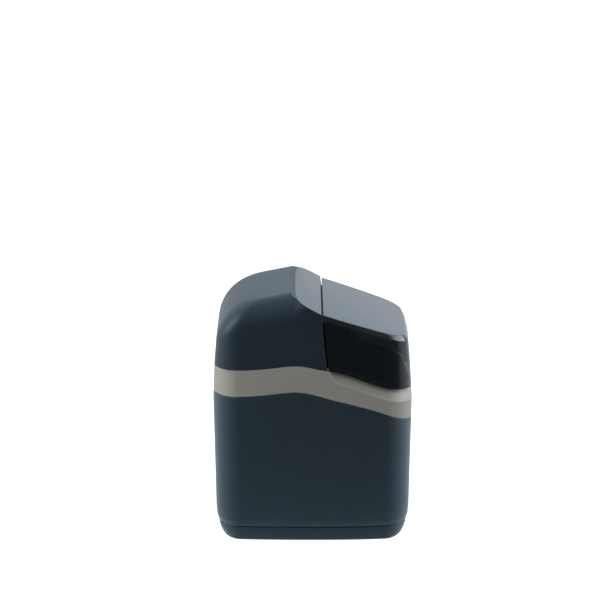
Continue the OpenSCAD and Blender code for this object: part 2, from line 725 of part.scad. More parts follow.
module turbine_support() {
    color("#d9d6cc") translate([-port_x, tank_y, port_z]) union() {
        difference() {
            along_y(0, 44, 0, 14, 4);
            along_y(0, 43, 0, 12.6, 6);
        }
        for (a = [0:120:240]) rotate([0, a, 0]) translate([2.5, 44.6, -1]) cube([10.6, 2.8, 2]);
        along_y(0, 44.2, 0, 4, 3.6);
        along_y(0, 45, 0, 1.5, 27);
    }
}

module flow_turbine() {
    color("#f0efe9") translate([-port_x, tank_y, port_z]) difference() {
        union() {
            along_y(0, 48.6, 0, 4, 14);
            for (a = [0:60:300]) rotate([0, a, 0]) translate([3, 55.6, 0]) rotate([30, 0, 0])
                translate([0, -6, -0.6]) cube([9.6, 12, 1.2]);
        }
        along_y(0, 40, 0, 1.5 + run, 40);
    }
}

module venturi_housing() {
    color("#3b4248") translate([0, tank_y - 6, port_z]) union() {
        along_x(-85.8, 0, 0, 20, 25.6);
        along_x(-85.8, 0, 0, 23, 4);
        up(-73, 0, -27, 6, 12);
    }
}

module venturi_cap() {
    color("#566069") translate([0, tank_y - 6, port_z]) union() {
        along_x(-95, 0, 0, 23, 9);
        for (a = [0:30:330]) rotate([a, 0, 0]) translate([-95, -2, 21]) cube([7, 4, 4]);
    }
}

module adaptor(x) {
    translate([x, 0, port_z]) difference() {
        union() {
            along_y(0, tank_y + 78, 0, 14, 24);
            along_y(0, tank_y + 100.3, 0, 22, 5.7);
            along_y(0, tank_y + 104, 0, thread_r - 1.6, 12);
            along_y(0, panel_y + 4, 0, thread_r, port_end - panel_y - 4);
        }
        along_y(0, tank_y + 70, 0, bore_r, 90);
    }
}
module inlet_adaptor() color("#2e3338") adaptor(port_x);
module outlet_adaptor() color("#2e3338") adaptor(-port_x);

// open spring clips that hold the adaptors' collars to the ports
module port_clips() {
    color("#7b8085") for (s = [-1, 1]) translate([s * port_x, tank_y + 91, port_z]) rotate([-90, 0, 0])
        rotate([0, 0, 125]) rotate_extrude(angle = 290, $fn = 72) polygon([[19.3, 0], [25, 0], [25, 18],
            [17.3, 18], [17.3, 15.3], [22.3, 15.3], [22.3, 2.7], [19.3, 2.7]]);
}

module drain_fitting() {
    color("#2e3338") translate([side_x, 0, port_z]) difference() {
        union() {
            along_y(0, tank_y + 60, 0, drain_r, 26);
            along_y(0, tank_y + 84.3, 0, 10, 6);
            along_y(0, tank_y + 88, 0, drain_r - 0.8, panel_y - tank_y - 82);
            along_y(0, panel_y + 4, 0, drain_r, port_end - panel_y - 6);
        }
        along_y(0, tank_y + 55, 0, drain_r - 2, 100);
    }
}

// panel behind the hood's rear notch
module port_panel() {
    color("#23282d") difference() {
        translate([-98, panel_y, deck_top]) cube([196, 3, port_z + 44 - deck_top]);
        for (s = [-1, 1]) along_y(s * port_x, panel_y - 2, port_z, thread_r + 0.3, 8);
        along_y(side_x, panel_y - 2, port_z, drain_r + 0.3, 8);
        along_y(-side_x, panel_y - 2, port_z, 6.2, 8);
    }
}

module power_inlet() {
    color("#141516") translate([-side_x, panel_y, port_z]) union() {
        difference() {
            union() {
                along_y(0, -11, 0, 6, 15);
                along_y(0, 3.2, 0, 8.5, 2.6);
            }
            along_y(0, -4, 0, 2.8, 20);
        }
        along_y(0, -5, 0, 1, 9);
    }
}

// the tube's route: down from the venturi, out, down through the deck and forward to the well
module tube_path(r, e) {
    q = 16;
    y = tank_y - 6;
    z1 = port_z - 27.3;
    z2 = deck_top + 26;
    translate([-73, y, z2 + q]) cylinder(r = r, h = z1 - z2 - q + e, $fn = 40);
    translate([-73 - q, y, z2 + q]) rotate([90, 0, 0]) rotate([0, 0, -90])
        rotate_extrude(angle = 90, $fn = 60) translate([q, 0]) circle(r = r, $fn = 40);
    along_x(well_x + q, y, z2, r, -well_x - 73 - 2 * q);
    translate([well_x + q, y, z2 - q]) rotate([90, 0, 0]) rotate([0, 0, 90])
        rotate_extrude(angle = 90, $fn = 60) translate([q, 0]) circle(r = r, $fn = 40);
    translate([well_x, y, tube_z + q]) cylinder(r = r, h = z2 - 2 * q - tube_z, $fn = 40);
    translate([well_x, y - q, tube_z + q]) rotate([0, 0, 90]) rotate([90, 0, 0]) rotate([0, 0, -90])
        rotate_extrude(angle = 90, $fn = 60) translate([q, 0]) circle(r = r, $fn = 40);
    along_y(well_x, well_y + 9 - e, tube_z, r, y - q - well_y - 9 + e);
}
module brine_tube() {
    color("#d9dcda") difference() {
        tube_path(tube_r, 0);
        tube_path(tube_r - 1.5, 1);
    }
}

module brine_well() {
    color("#aeb6bc") difference() {
        up(well_x, well_y, floor_t + 0.2, well_r, deck_z - 8 - floor_t);
        up(well_x, well_y, floor_t - 1, well_r - 2.5, deck_z);
        along_y(well_x, well_y + 20, tube_z, tube_r + 0.5, 40);
        for (a = [0:45:135]) translate([well_x, well_y, floor_t]) rotate([0, 0, a])
            translate([-50, -2, 0]) cube([100, 4, 14]);
    }
}

module well_cap() {
    color("#20272d") union() {
        up(well_x, well_y, deck_z - 7.6, well_r + 1, 4);
        up(well_x, well_y, deck_z - 12, well_r - 2.8, 5);
    }
}

module brine_valve() {
    color("#e6e3da") translate([well_x, well_y, 0]) union() {
        up(0, 0, floor_t + 0.3, 15, 45);
        up(0, 0, floor_t + 40, 4, tube_z - floor_t - 44);
        up(0, 0, floor_t + 57, 8, 4);
        up(0, 0, floor_t + 107 + float_travel, 8, 4);
        up(0, 0, tube_z - 10, 8.5, 19);
    }
}

module brine_float() {
    color("#f2f0e8") translate([well_x, well_y, floor_t + 61.3]) difference() {
        cylinder(r = float_r, h = 44, $fn = 64);
        translate([0, 0, -1]) cylinder(r = 4 + run, h = 50, $fn = 40);
    }
}

// rubber ring in the tank's rear wall that takes an overflow elbow
module overflow_grommet() {
    y = (hd - in_rear(overflow_z)) * (1 - 2 / hd * pow(overflow_x / hw, 2));
    color("#161616") translate([overflow_x, y, overflow_z]) difference() {
        union() {
            along_y(0, -tank_wall - 3.9, 0, 7.8, tank_wall + 3.4);
            along_y(0, -tank_wall - 3.9, 0, 10, 2.5);
        }
        along_y(0, -20, 0, 6.4, 40);
    }
}

brine_tank();
rim_band();
top_deck();
bulkhead();
console_housing();
display_lens();
display_module();
control_board();
switch_set();
button_back();
button_down();
button_up();
button_enter();
rear_hood();
hood_inlay();
visor_window();
visor_plate();
hinge_pins();
visor_pads();
resin_tank();
tank_boot();
riser_tube();
lower_basket();
upper_basket();
resin_bed();
neck_seal();
neck_clamp();
valve_body();
rotor_seal();
valve_rotor();
wave_washer();
valve_cover();
cover_screws();
cam_gear();
motor_pinion();
motor_bracket();
drive_motor();
bracket_screws();
position_switch();
turbine_support();
flow_turbine();
venturi_housing();
venturi_cap();
inlet_adaptor();
outlet_adaptor();
port_clips();
drain_fitting();
port_panel();
power_inlet();
brine_tube();
brine_well();
well_cap();
brine_valve();
brine_float();
overflow_grommet();
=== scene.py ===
"""Cabinet water softener: the dressed pieces round its CAD frame.

Metres, +Z up, the front faces -Y, the origin in the middle of the footprint on the floor.
Shapes are worked out in millimetres, because that is how the part was measured.
"""

import json
import math

import bmesh
import bpy
import numpy as np
from mathutils import Matrix, Vector


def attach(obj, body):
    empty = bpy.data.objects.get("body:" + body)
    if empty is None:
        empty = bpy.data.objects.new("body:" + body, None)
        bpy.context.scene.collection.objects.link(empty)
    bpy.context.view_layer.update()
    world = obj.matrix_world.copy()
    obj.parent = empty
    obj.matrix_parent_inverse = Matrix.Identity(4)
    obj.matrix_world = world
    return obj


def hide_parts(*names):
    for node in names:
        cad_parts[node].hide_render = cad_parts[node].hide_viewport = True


bl_info = {
    "name": "Cabinet water softener",
    "version": (1, 0, 0),
    "blender": (4, 5, 0),
    "location": "View3D > Sidebar > Softener",
    "description": "Builds the shells, trim, fittings and stage of a cabinet water softener",
    "category": "Add Mesh",
}

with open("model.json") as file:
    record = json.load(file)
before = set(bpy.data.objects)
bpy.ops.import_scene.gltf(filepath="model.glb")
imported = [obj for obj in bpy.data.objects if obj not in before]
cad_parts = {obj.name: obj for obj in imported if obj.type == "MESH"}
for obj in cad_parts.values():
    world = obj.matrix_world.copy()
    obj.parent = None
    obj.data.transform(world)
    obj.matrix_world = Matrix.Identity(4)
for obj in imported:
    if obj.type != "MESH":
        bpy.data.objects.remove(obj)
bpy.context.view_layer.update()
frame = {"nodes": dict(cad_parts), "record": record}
NODES = frame["nodes"]
SLOT_OF = {row["node"]: row["material_slot"] for row in frame["record"]["subparts"]}
BODY_OF = {node: body for body, names in frame["record"]["behaviour"]["bodies"].items() for node in names}
MM = 0.001

# ---------------------------------------------------------------- sizes of the cabinet, mm
HALF_W = 180.0
HALF_D = 242.5
SEAM_Z = 372.0
RIM_Z = 438.0
RIDGE_Z = 617.0
CORNER_R = 64.0
BELT_Z = SEAM_Z - 17.0
TANK_WALL = 4.0
FLOOR_T = 5.0
SHADOW_GAP = 2.0
SKIN = 3.0
SHEET_T = 1.6
VISOR_GAP = 4.2
BEVEL_H = 12.0
BEVEL_W = 6.0
SCOOP_D = 12.0
SEAT = 0.3
GAP_Y = -21.5
GAP_Z = RIDGE_Z - 41.0
GAP_LEAN = math.radians(5.8)
RIDGE_Y = GAP_Y + 76.0
INLAY_FALL = 41.0 / 76.0
INLAY_A = math.atan(INLAY_FALL)
PLATE_FALL = 0.325
PLATE_A = math.atan(PLATE_FALL)
TOP_FALL = 0.195
SIDE_ROUND = 60.0
REAR_ROUND = 92.0
DECK_Z = SEAM_Z + 5.0
PORT_Z = RIM_Z + 31.0
TANK_Y = HALF_D - 144.0
MOTOR_Y = TANK_Y - 45.3
PANEL_Y = HALF_D - 33.0
PORT_END = HALF_D - 10.0
HINGE_Y = GAP_Y - 10.0
HINGE_Z = GAP_Z - PLATE_FALL * 10.0 - 4.7
HINGE_X = 110.0
KNUCKLE_R = 2.5
PIN_R = 1.25
PORT_R = 16.6
OVERFLOW = (HALF_W - 84.0, BELT_Z - 15.0)
# the shells stay this far inside the faceted solids' widest corners
TUCK = 0.6

# edges of the band: height over the seam or the rim, along the depth less TABLE_SHIFT
TABLE_SHIFT = 2.5
LOW = [(-245, -70), (-240, -69), (-225, -64), (-210, -58), (-191, -50.5), (-174, -43.5), (-138, -30.5),
       (-90, -16.5), (-42, -3.5), (-30, 0), (-12, 5), (6, 9.7), (25, 13), (43, 14), (61, 12.5), (98, 8), (134, 4),
       (170, 1.4), (188, 0.4), (207, 0), (240, 0)]
HIGH = [(-245, -60), (-240, -59), (-215, -55), (-196, -50.5), (-178, -46), (-160, -40.5), (-123, -26.5),
        (-87, -12.5), (-50, -1.5), (-38, 0), (-30, 1.6), (-12, 5), (6, 9), (25, 12), (43, 12.6), (61, 11.6),
        (97, 7), (134, 3), (170, 0.6), (206, -0.5), (240, -1)]
# crest of the scoop: well under the upper edge in front, just under it behind
SCOOP = ([(y, z - 28) for y, z in HIGH if y < -59] + [(-59, -30), (-50, -26), (-44, -16), (-40, -4)]
         + [(y, z - 4) for y, z in HIGH if y > -38])
# inset of the walls over the belt: height, inset
SIDE_IN = [(0, 0), (83, 3), (207, 7), (260, 9)]
FRONT_IN = [(0, 0), (31, 2.2), (92, 6.5), (138, 11), (200, 18)]
REAR_IN = [(0, 0), (83, 3.5), (120, 6.5), (158, 10), (200, 15), (260, 22)]
LOWER_DRAFT = 0.0165
# plinth: height, inset at the sides, inset at the ends; the rows up it
FOOT = [(0, 22, 36), (3, 18.5, 28), (8, 16.3, 22.5), (15, 14.2, 18), (24, 12.4, 14), (34.5, 11.3, 11.5)]
FOOT_ROWS = (0, 0.5, 1.2, 2, 3, 4.5, 6.2, 8, 10.5, 13, 15, 18, 21, 24, 28, 32, 34.5)
# rounded step over the plinth, and the wall that swells from it to WALL_Z: height, inset; the rows up that wall
STEP = [(35.6, 11.5), (36.3, 12), (36.9, 12.7), (37.3, 13.4), (37.5, 13.9), (37.8, 14), (38.4, 13.2), (39.3, 11.9)]
WALL_Z = 73.0
WAIST = [(40.2, 11.1), (42, 10.0), (46, 8.6), (53, 6.6), (WALL_Z, (BELT_Z - WALL_Z) * LOWER_DRAFT)]
WAIST_ROWS = (40.2, 41, 42, 43.2, 44.5, 46, 48, 50.5, 53, 57, 62, 67, WALL_Z)
# rounded upper edge of the tank: depth under the edge, inset
TANK_EDGE = [(0.9, 0.12), (0.4, 0.42), (0.1, 0.85), (0.0, 1.3)]
# the tank's inside under the wall: height, inset at the sides, inset at the ends
INSIDE = [(53, 8, 8), (42, 15.5, 15.5), (24, 15.5, 16), (12, 17, 20), (FLOOR_T + 2, 18.6, 24), (FLOOR_T, 20.5, 28)]
# where the scoop starts to come in along the depth, and over what length
SCOOP_END, SCOOP_RUN = -41, 9
# the scoop, from its crest to under the visor: share of its height, share of its depth
COVE = [(-0.02, 0.004), (0.0, 0.015), (0.02, 0.035), (0.05, 0.07), (0.12, 0.15), (0.25, 0.29), (0.4, 0.45),
        (0.56, 0.6), (0.72, 0.76), (0.86, 0.89), (0.95, 0.97)]
# the plan draws in towards the front, more so above the belt, and towards the rear, and both ends are bowed
FRONT_DRAW, FRONT_DRAW_UP, REAR_DRAW = 19, 14, 12
FRONT_BOW, REAR_BOW = 6, 2


def curve(table, x):
    """A smooth curve through a table's points that adds no bumps between them."""
    px, py = np.array(table, float).T
    step = np.diff(py) / np.diff(px)
    slope = np.zeros_like(px)
    same = step[:-1] * step[1:] > 0
    total = np.where(same, step[:-1] + step[1:], 1.0)
    slope[1:-1] = np.where(same, 2 * step[:-1] * step[1:] / total, 0.0)
    slope[0], slope[-1] = step[0], step[-1]
    x = np.clip(np.asarray(x, float), px[0], px[-1])
    i = np.clip(np.searchsorted(px, x) - 1, 0, len(px) - 2)
    h = px[i + 1] - px[i]
    t = (x - px[i]) / h
    return ((1 + 2 * t) * (1 - t) ** 2 * py[i] + t * (1 - t) ** 2 * h * slope[i]
            + t * t * (3 - 2 * t) * py[i + 1] + t * t * (t - 1) * h * slope[i + 1])


def mix(a, b, t):
    """From a at 0 to b at 1, straight."""
    return a + (b - a) * t


def ease(t):
    """From 0 to 1 with level ends."""
    t = np.clip(t, 0.0, 1.0)
    return t * t * (3 - 2 * t)


def low_z(y):
    return SEAM_Z + curve(LOW, np.asarray(y, float) - TABLE_SHIFT)


def high_z(y):
    return RIM_Z + curve(HIGH, np.asarray(y, float) - TABLE_SHIFT)


def scoop_z(y):
    return RIM_Z + curve(SCOOP, np.asarray(y, float) - TABLE_SHIFT)


def scoop_share(y):
    """How far the scoop has come in: 0 behind its end, 1 in front of it."""
    return ease((SCOOP_END - np.asarray(y, float) + TABLE_SHIFT) / SCOOP_RUN)


def plate_z(y):
    return GAP_Z + PLATE_FALL * (y - GAP_Y)


def top_z(y):
    return RIDGE_Z - TOP_FALL * (y - RIDGE_Y)


def slope_z(y):
    return GAP_Z + INLAY_FALL * (y - GAP_Y)


def inset(table, z):
    """How far the wall stands in at a height: a draft under the belt, a table over it."""
    z = np.asarray(z, float)
    return TUCK + np.where(z < BELT_Z, (BELT_Z - z) * LOWER_DRAFT, curve(table, z - BELT_Z))


class Outline:
    """Half of the cabinet's rounded outline, from the middle of the front to the middle of the rear."""

    def __init__(self, front, corner, side, rear, side_marks=()):
        runs = [np.linspace(0, 1, front, endpoint=False),
                np.linspace(0, 1, corner, endpoint=False),
                np.unique(np.round(np.concatenate([np.linspace(0, 1, side, endpoint=False),
                                                   np.array(side_marks, float)]), 6)),
                np.linspace(0, 1, corner, endpoint=False),
                np.linspace(0, 1, rear)]
        self.run = np.concatenate([np.full(len(r), n) for n, r in enumerate(runs)])
        self.at = np.concatenate(runs)
        self.count = len(self.at)

    def plan(self, a, front, rear, rf, rr, z):
        """The outline with half width a, bowed as the cabinet is."""
        t = self.at
        turn = t * math.pi / 2
        picks = [self.run == n for n in range(5)]
        x = np.select(picks, [t * (a - rf), a - rf + rf * np.sin(turn), a + 0 * t,
                              a - rr + rr * np.cos(turn), (a - rr) * (1 - t)])
        y = np.select(picks, [0 * t - front, rf - front - rf * np.cos(turn),
                              mix(rf - front, rear - rr, t), rear - rr + rr * np.sin(turn), 0 * t + rear])
        draw = np.where(y < 0, FRONT_DRAW + FRONT_DRAW_UP * np.clip((z - BELT_Z) / 170, 0, 1), REAR_DRAW)
        bow = np.where(y < 0, FRONT_BOW, REAR_BOW)
        return x * (1 - draw / HALF_W * (np.abs(y) / HALF_D) ** 2.5), y * (1 - bow / HALF_D * (x / HALF_W) ** 2)

    def ring(self, z, a, front, rear, rf, rr):
        """The outline's points at a height, or at a height for each column."""
        z = np.zeros(self.count) + z
        x, y = self.plan(a, front, rear, rf, rr, z)
        return np.stack([x, y, z], 1)

    def foot(self, z, ds, de):
        """The plinth's outline, inset at the sides and at the ends."""
        end = HALF_D - de - TUCK
        return self.ring(z, HALF_W - ds - TUCK, end, end, CORNER_R - de, CORNER_R - de)

    def wall(self, z, d):
        """The cabinet's wall, a distance inside it."""
        z = np.zeros(self.count) + z
        f, r = inset(FRONT_IN, z), inset(REAR_IN, z)
        return self.ring(z, HALF_W - inset(SIDE_IN, z) - d, HALF_D - f - d, HALF_D - r - d,
                         CORNER_R - f - d, CORNER_R - r - d)

    def depth(self):
        """Where each column stands along the depth, at the belt."""
        return self.wall(BELT_Z, 0)[:, 1]


def both_sides(grid, loop=False, caps=(False, False)):
    """Vertices and faces of a half grid of rows (row, column, xyz) and its mirror image."""
    rows, cols, _ = grid.shape
    verts, faces = [], []
    for side in (1, -1):
        base = len(verts)
        verts.extend((side * p[0] * MM, p[1] * MM, p[2] * MM) for p in grid.reshape(-1, 3))
        for j in range(rows if loop else rows - 1):
            q = (j + 1) % rows
            for k in range(cols - 1):
                f = (base + j * cols + k, base + j * cols + k + 1, base + q * cols + k + 1, base + q * cols + k)
                faces.append(f if side == 1 else f[::-1])
    for row, cap in ((0, caps[0]), (rows - 1, caps[1])):
        if cap:
            right = [row * cols + k for k in range(cols)]
            left = [rows * cols + i for i in right]
            for k in range(cols - 1):
                f = (right[k], left[k], left[k + 1], right[k + 1])
                faces.append(f if row == 0 else f[::-1])
    return verts, faces


def link(name, mesh, material, smooth=True):
    """An object in the scene from a mesh."""
    if material:
        mesh.materials.append(material)
    if smooth:
        mesh.shade_smooth()
    obj = bpy.data.objects.new(name, mesh)
    bpy.context.scene.collection.objects.link(obj)
    return obj


def from_bmesh(name, bm, material, smooth=True):
    """An object in the scene from a bmesh, which is freed."""
    mesh = bpy.data.meshes.new(name)
    bm.to_mesh(mesh)
    bm.free()
    return link(name, mesh, material, smooth)


def drop(obj):
    """Removes an object and its mesh."""
    mesh = obj.data
    bpy.data.objects.remove(obj)
    bpy.data.meshes.remove(mesh)


def merge_doubles(bm):
    """Merges points that meet and drops faces without an area."""
    bmesh.ops.remove_doubles(bm, verts=bm.verts, dist=2e-6)
    bmesh.ops.dissolve_degenerate(bm, edges=bm.edges, dist=1e-6)


def mesh_object(name, verts, faces, material):
    """A smooth mesh object at the origin, doubles merged and faces turned outwards."""
    bm = bmesh.new()
    made = [bm.verts.new(v) for v in verts]
    for f in faces:
        if len(set(f)) == len(f):
            bm.faces.new([made[i] for i in f])
    merge_doubles(bm)
    bmesh.ops.recalc_face_normals(bm, faces=bm.faces)
    return from_bmesh(name, bm, material)


def settle(obj):
    """Bakes an object's modifiers into a plain mesh."""
    graph = bpy.context.evaluated_depsgraph_get()
    mesh = bpy.data.meshes.new_from_object(obj.evaluated_get(graph))
    old = obj.data
    obj.modifiers.clear()
    obj.data = mesh
    bpy.data.meshes.remove(old)
    mesh.name = obj.name


def break_edges(obj, edge, sharp):
    """Adds a small round to the edges that turn by more than an angle."""
    bevel = obj.modifiers.new("edges", "BEVEL")
    bevel.width = edge * MM
    bevel.segments = 2
    bevel.limit_method = "ANGLE"
    bevel.angle_limit = math.radians(sharp)


def thicken(obj, wall, edge, inner_slot=0):
    """Gives a skin its wall, inwards, and breaks its sharp edges."""
    solid = obj.modifiers.new("wall", "SOLIDIFY")
    solid.thickness = wall * MM
    solid.offset = -1
    solid.use_quality_normals = True
    solid.material_offset = inner_slot
    break_edges(obj, edge, 40)
    settle(obj)


def cut(obj, *cutters):
    """Cuts the cutters' shapes out of a piece and removes them."""
    for cutter in cutters:
        tool = obj.modifiers.new("cut", "BOOLEAN")
        tool.operation = "DIFFERENCE"
        tool.solver = "EXACT"
        tool.object = cutter
        settle(obj)
        drop(cutter)


def crease(obj, degrees):
    """Smooth shading that stays sharp at real edges."""
    obj.data.set_sharp_from_angle(angle=math.radians(degrees))
    return obj


def join(name, objs):
    """One object from several, at the origin."""
    bm = bmesh.new()
    slots = []
    for o in objs:
        start = len(bm.faces)
        bm.from_mesh(o.data)
        bm.faces.ensure_lookup_table()
        local = list(o.data.materials)
        for m in local:
            if m not in slots:
                slots.append(m)
        for f in bm.faces[start:]:
            f.material_index = slots.index(local[f.material_index])
    for o in objs:
        drop(o)
    whole = from_bmesh(name, bm, None, smooth=False)
    for m in slots:
        whole.data.materials.append(m)
    return whole


def block(name, low, high, edge, material, turn=None, segments=2):
    """A box with broken edges between two corners, mm."""
    bm = bmesh.new()
    bmesh.ops.create_cube(bm, size=1)
    size = [(h - l) * MM for l, h in zip(low, high)]
    mid = [(h + l) / 2 * MM for l, h in zip(low, high)]
    bmesh.ops.scale(bm, vec=size, verts=bm.verts)
    bmesh.ops.translate(bm, vec=mid, verts=bm.verts)
    if edge:
        bmesh.ops.bevel(bm, geom=bm.edges[:], offset=edge * MM, segments=segments, profile=0.5, affect="EDGES")
    if turn:
        bmesh.ops.transform(bm, matrix=turn, verts=bm.verts)
    return from_bmesh(name, bm, material, smooth=False)


def lathe(name, profile, place_at, material, sides=64):
    """A turned piece: profile points are (radius, height), mm; a closed profile makes a hollow one."""
    verts, faces = [], []
    n = len(profile)
    for k in range(sides):
        a = 2 * math.pi * k / sides
        verts += [(r * math.cos(a) * MM, r * math.sin(a) * MM, z * MM) for r, z in profile]
    for k in range(sides):
        i = (k + 1) % sides
        for j in range(n - 1):
            faces.append((k * n + j, i * n + j, i * n + j + 1, k * n + j + 1))
    obj = mesh_object(name, verts, faces, material)
    obj.data.transform(place_at)
    return crease(obj, 32)


def along(origin, axis):
    """Takes local +Z to an axis at an origin in mm."""
    turn = Vector((0, 0, 1)).rotation_difference(Vector(axis)).to_matrix().to_4x4()
    return Matrix.Translation(Vector(origin) * MM) @ turn


# ---------------------------------------------------------------- values a user would change


def linear(code):
    """A linear colour from an sRGB hex value."""
    parts = [int(code[i:i + 2], 16) / 255 for i in (1, 3, 5)]
    return tuple(v / 12.92 if v <= 0.04045 else ((v + 0.055) / 1.055) ** 2.4 for v in parts) + (1.0,)


def length_prop(name, text, value, low, high):
    return bpy.props.FloatProperty(name=name, description=text, default=value * MM, min=low * MM, max=high * MM,
                                   precision=5, subtype="DISTANCE", unit="LENGTH")


def colour_prop(name, text, code):
    return bpy.props.FloatVectorProperty(name=name, description=text, size=4, subtype="COLOR", min=0.0, max=1.0,
                                         default=linear(code))


class SoftenerSizes(bpy.types.PropertyGroup):
    """Sizes of the dressing; the cabinet's own sizes come from its solids."""
    shell_edge: length_prop("Shell edge", "Rounding of the hood's and window's open edges", 0.6, 0.2, 1.0)
    ridge_blend: length_prop("Ridge blend", "Width of the bend between the hood's roof and slanted face", 2.0, 0.5, 8)
    parting_line: length_prop("Parting line", "Depth of the groove between the tank's mould halves", 0.42, 0.0, 0.8)
    sheet_edge: length_prop("Sheet edge", "Rounding of the silver plate's and inlay's upper edges", 0.6, 0.2, 0.8)
    thread_pitch: length_prop("Thread pitch", "Pitch of the water ports' pipe threads", 2.309, 1.5, 3.0)
    screw_socket: length_prop("Screw socket", "Width across the flats of the screws' sockets", 3.0, 2.0, 4.0)
    barb_step: length_prop("Barb step", "Height of the drain barb's rings", 0.8, 0.3, 1.0)
    digit_height: length_prop("Digit height", "Height of the display's digits", 17.0, 8.0, 24.0)


class SoftenerColours(bpy.types.PropertyGroup):
    """Colours of the materials."""
    tank: colour_prop("Tank", "Blue-black of the brine tank", "#151f26")
    hood: colour_prop("Hood", "Blue-black of the rear hood", "#1a232a")
    band: colour_prop("Band", "Warm grey of the waved band", "#7d7e78")
    sheet: colour_prop("Silver sheet", "Silver blue of the plate and inlay", "#656f77")
    window: colour_prop("Window", "Smoke of the visor's window", "#0c1012")
    dark: colour_prop("Dark mouldings", "Console, deck, bulkhead and panel", "#23282d")
    valve: colour_prop("Valve", "Valve body, cover and fittings", "#343a40")
    white: colour_prop("White mouldings", "Gear, rotor, baskets and float", "#dedbd2")
    button: colour_prop("Buttons", "Push buttons of the console", "#b9bdc2")
    well: colour_prop("Brine well", "Extruded tube of the brine well", "#aeb6bc")
    tube: colour_prop("Brine tube", "Milky polyethylene of the brine tube", "#d9dcda")
    fibre: colour_prop("Resin tank", "Blue of the wound resin tank", "#3d5c74")
    resin: colour_prop("Resin", "Amber of the resin beads", "#8a4f24")
    board: colour_prop("Board", "Green of the control board", "#2c6b45")
    crystal: colour_prop("Display", "Grey green of the display", "#7d8b74")
    rubber: colour_prop("Rubber", "Seals, pads and grommet", "#1a1a1a")
    steel: colour_prop("Steel", "Screws, pins, clips and bracket", "#b5b8bb")
    brass: colour_prop("Brass", "Motor pinion", "#c9a54a")
    ink: colour_prop("Ink", "Signs on the buttons", "#2a3036")


# ---------------------------------------------------------------- finishes


def add(tree, kind, settings=None, inputs=None, links=None):
    """Adds one node with its settings, its inputs' values and its links."""
    node = tree.nodes.new(kind)
    for key, value in (settings or {}).items():
        setattr(node, key, value)
    for key, value in (inputs or {}).items():
        node.inputs[key].default_value = value
    for key, source in (links or {}).items():
        tree.links.new(source, node.inputs[key])
    return node


def maths(tree, operation, *terms):
    """The output of a math node on numbers and other nodes' outputs."""
    fixed = {i: term for i, term in enumerate(terms) if isinstance(term, float)}
    linked = {i: term for i, term in enumerate(terms) if i not in fixed}
    return add(tree, "ShaderNodeMath", {"operation": operation}, fixed, linked).outputs["Value"]


def fresh_tree(owner, output):
    """A material's or world's node tree, emptied, and its output's socket."""
    owner.use_nodes = True
    tree = owner.node_tree
    tree.nodes.clear()
    return tree, add(tree, output).inputs["Surface"]


def finish(name, colour, rough, spread=0.06, tone=0.12, grain=1.5, relief=0.02, drift=40.0, stretch=None, wear=0.0,
           **sockets):
    """A moulded or worked surface: drifting tone, uneven gloss, a raised grain and paler worn edges. Sizes in mm."""
    mat = bpy.data.materials.new(name)
    tree, out = fresh_tree(mat, "ShaderNodeOutputMaterial")
    at = add(tree, "ShaderNodeTexCoord").outputs["Object"]
    if stretch:
        at = add(tree, "ShaderNodeMapping", inputs={"Scale": stretch}, links={"Vector": at}).outputs["Vector"]
    cloud = add(tree, "ShaderNodeTexNoise", inputs={"Scale": 1 / (drift * MM), "Detail": 3.0},
                links={"Vector": at}).outputs["Fac"]
    fine = add(tree, "ShaderNodeTexNoise", inputs={"Scale": 1 / (grain * MM), "Detail": 2.0, "Roughness": 0.6},
               links={"Vector": at}).outputs["Fac"]
    both = maths(tree, "MULTIPLY_ADD", cloud, 0.45, maths(tree, "MULTIPLY", fine, 0.55))
    ramp = add(tree, "ShaderNodeValToRGB", links={"Fac": both})
    for stop, spot, share in zip(ramp.color_ramp.elements, (0.3, 0.7), (1 - tone, 1 + tone)):
        stop.position = spot
        stop.color = [min(1.0, c * share) for c in colour[:3]] + [1.0]
    base = ramp.outputs["Color"]
    if wear:
        # edges that hands and cloths rub are a little paler
        edge = add(tree, "ShaderNodeNewGeometry").outputs["Pointiness"]
        worn = add(tree, "ShaderNodeMapRange", inputs={"From Min": 0.52, "From Max": 0.62, "To Max": wear},
                   links={"Value": edge})
        pale = [min(1.0, c * 1.9 + 0.02) for c in colour[:3]] + [1.0]
        base = add(tree, "ShaderNodeMix", {"data_type": "RGBA"}, {"B": pale},
                   {"Factor": worn.outputs["Result"], "A": base}).outputs["Result"]
    gloss = add(tree, "ShaderNodeMapRange", inputs={"From Min": 0.3, "From Max": 0.7, "To Min": rough - spread,
                                                    "To Max": rough + spread}, links={"Value": both})
    bump = add(tree, "ShaderNodeBump", inputs={"Strength": 0.5, "Distance": relief * MM}, links={"Height": fine})
    surface = add(tree, "ShaderNodeBsdfPrincipled", inputs=sockets,
                  links={"Base Color": base, "Roughness": gloss.outputs["Result"], "Normal": bump.outputs["Normal"]})
    tree.links.new(surface.outputs["BSDF"], out)
    return mat


FINISHES = {}


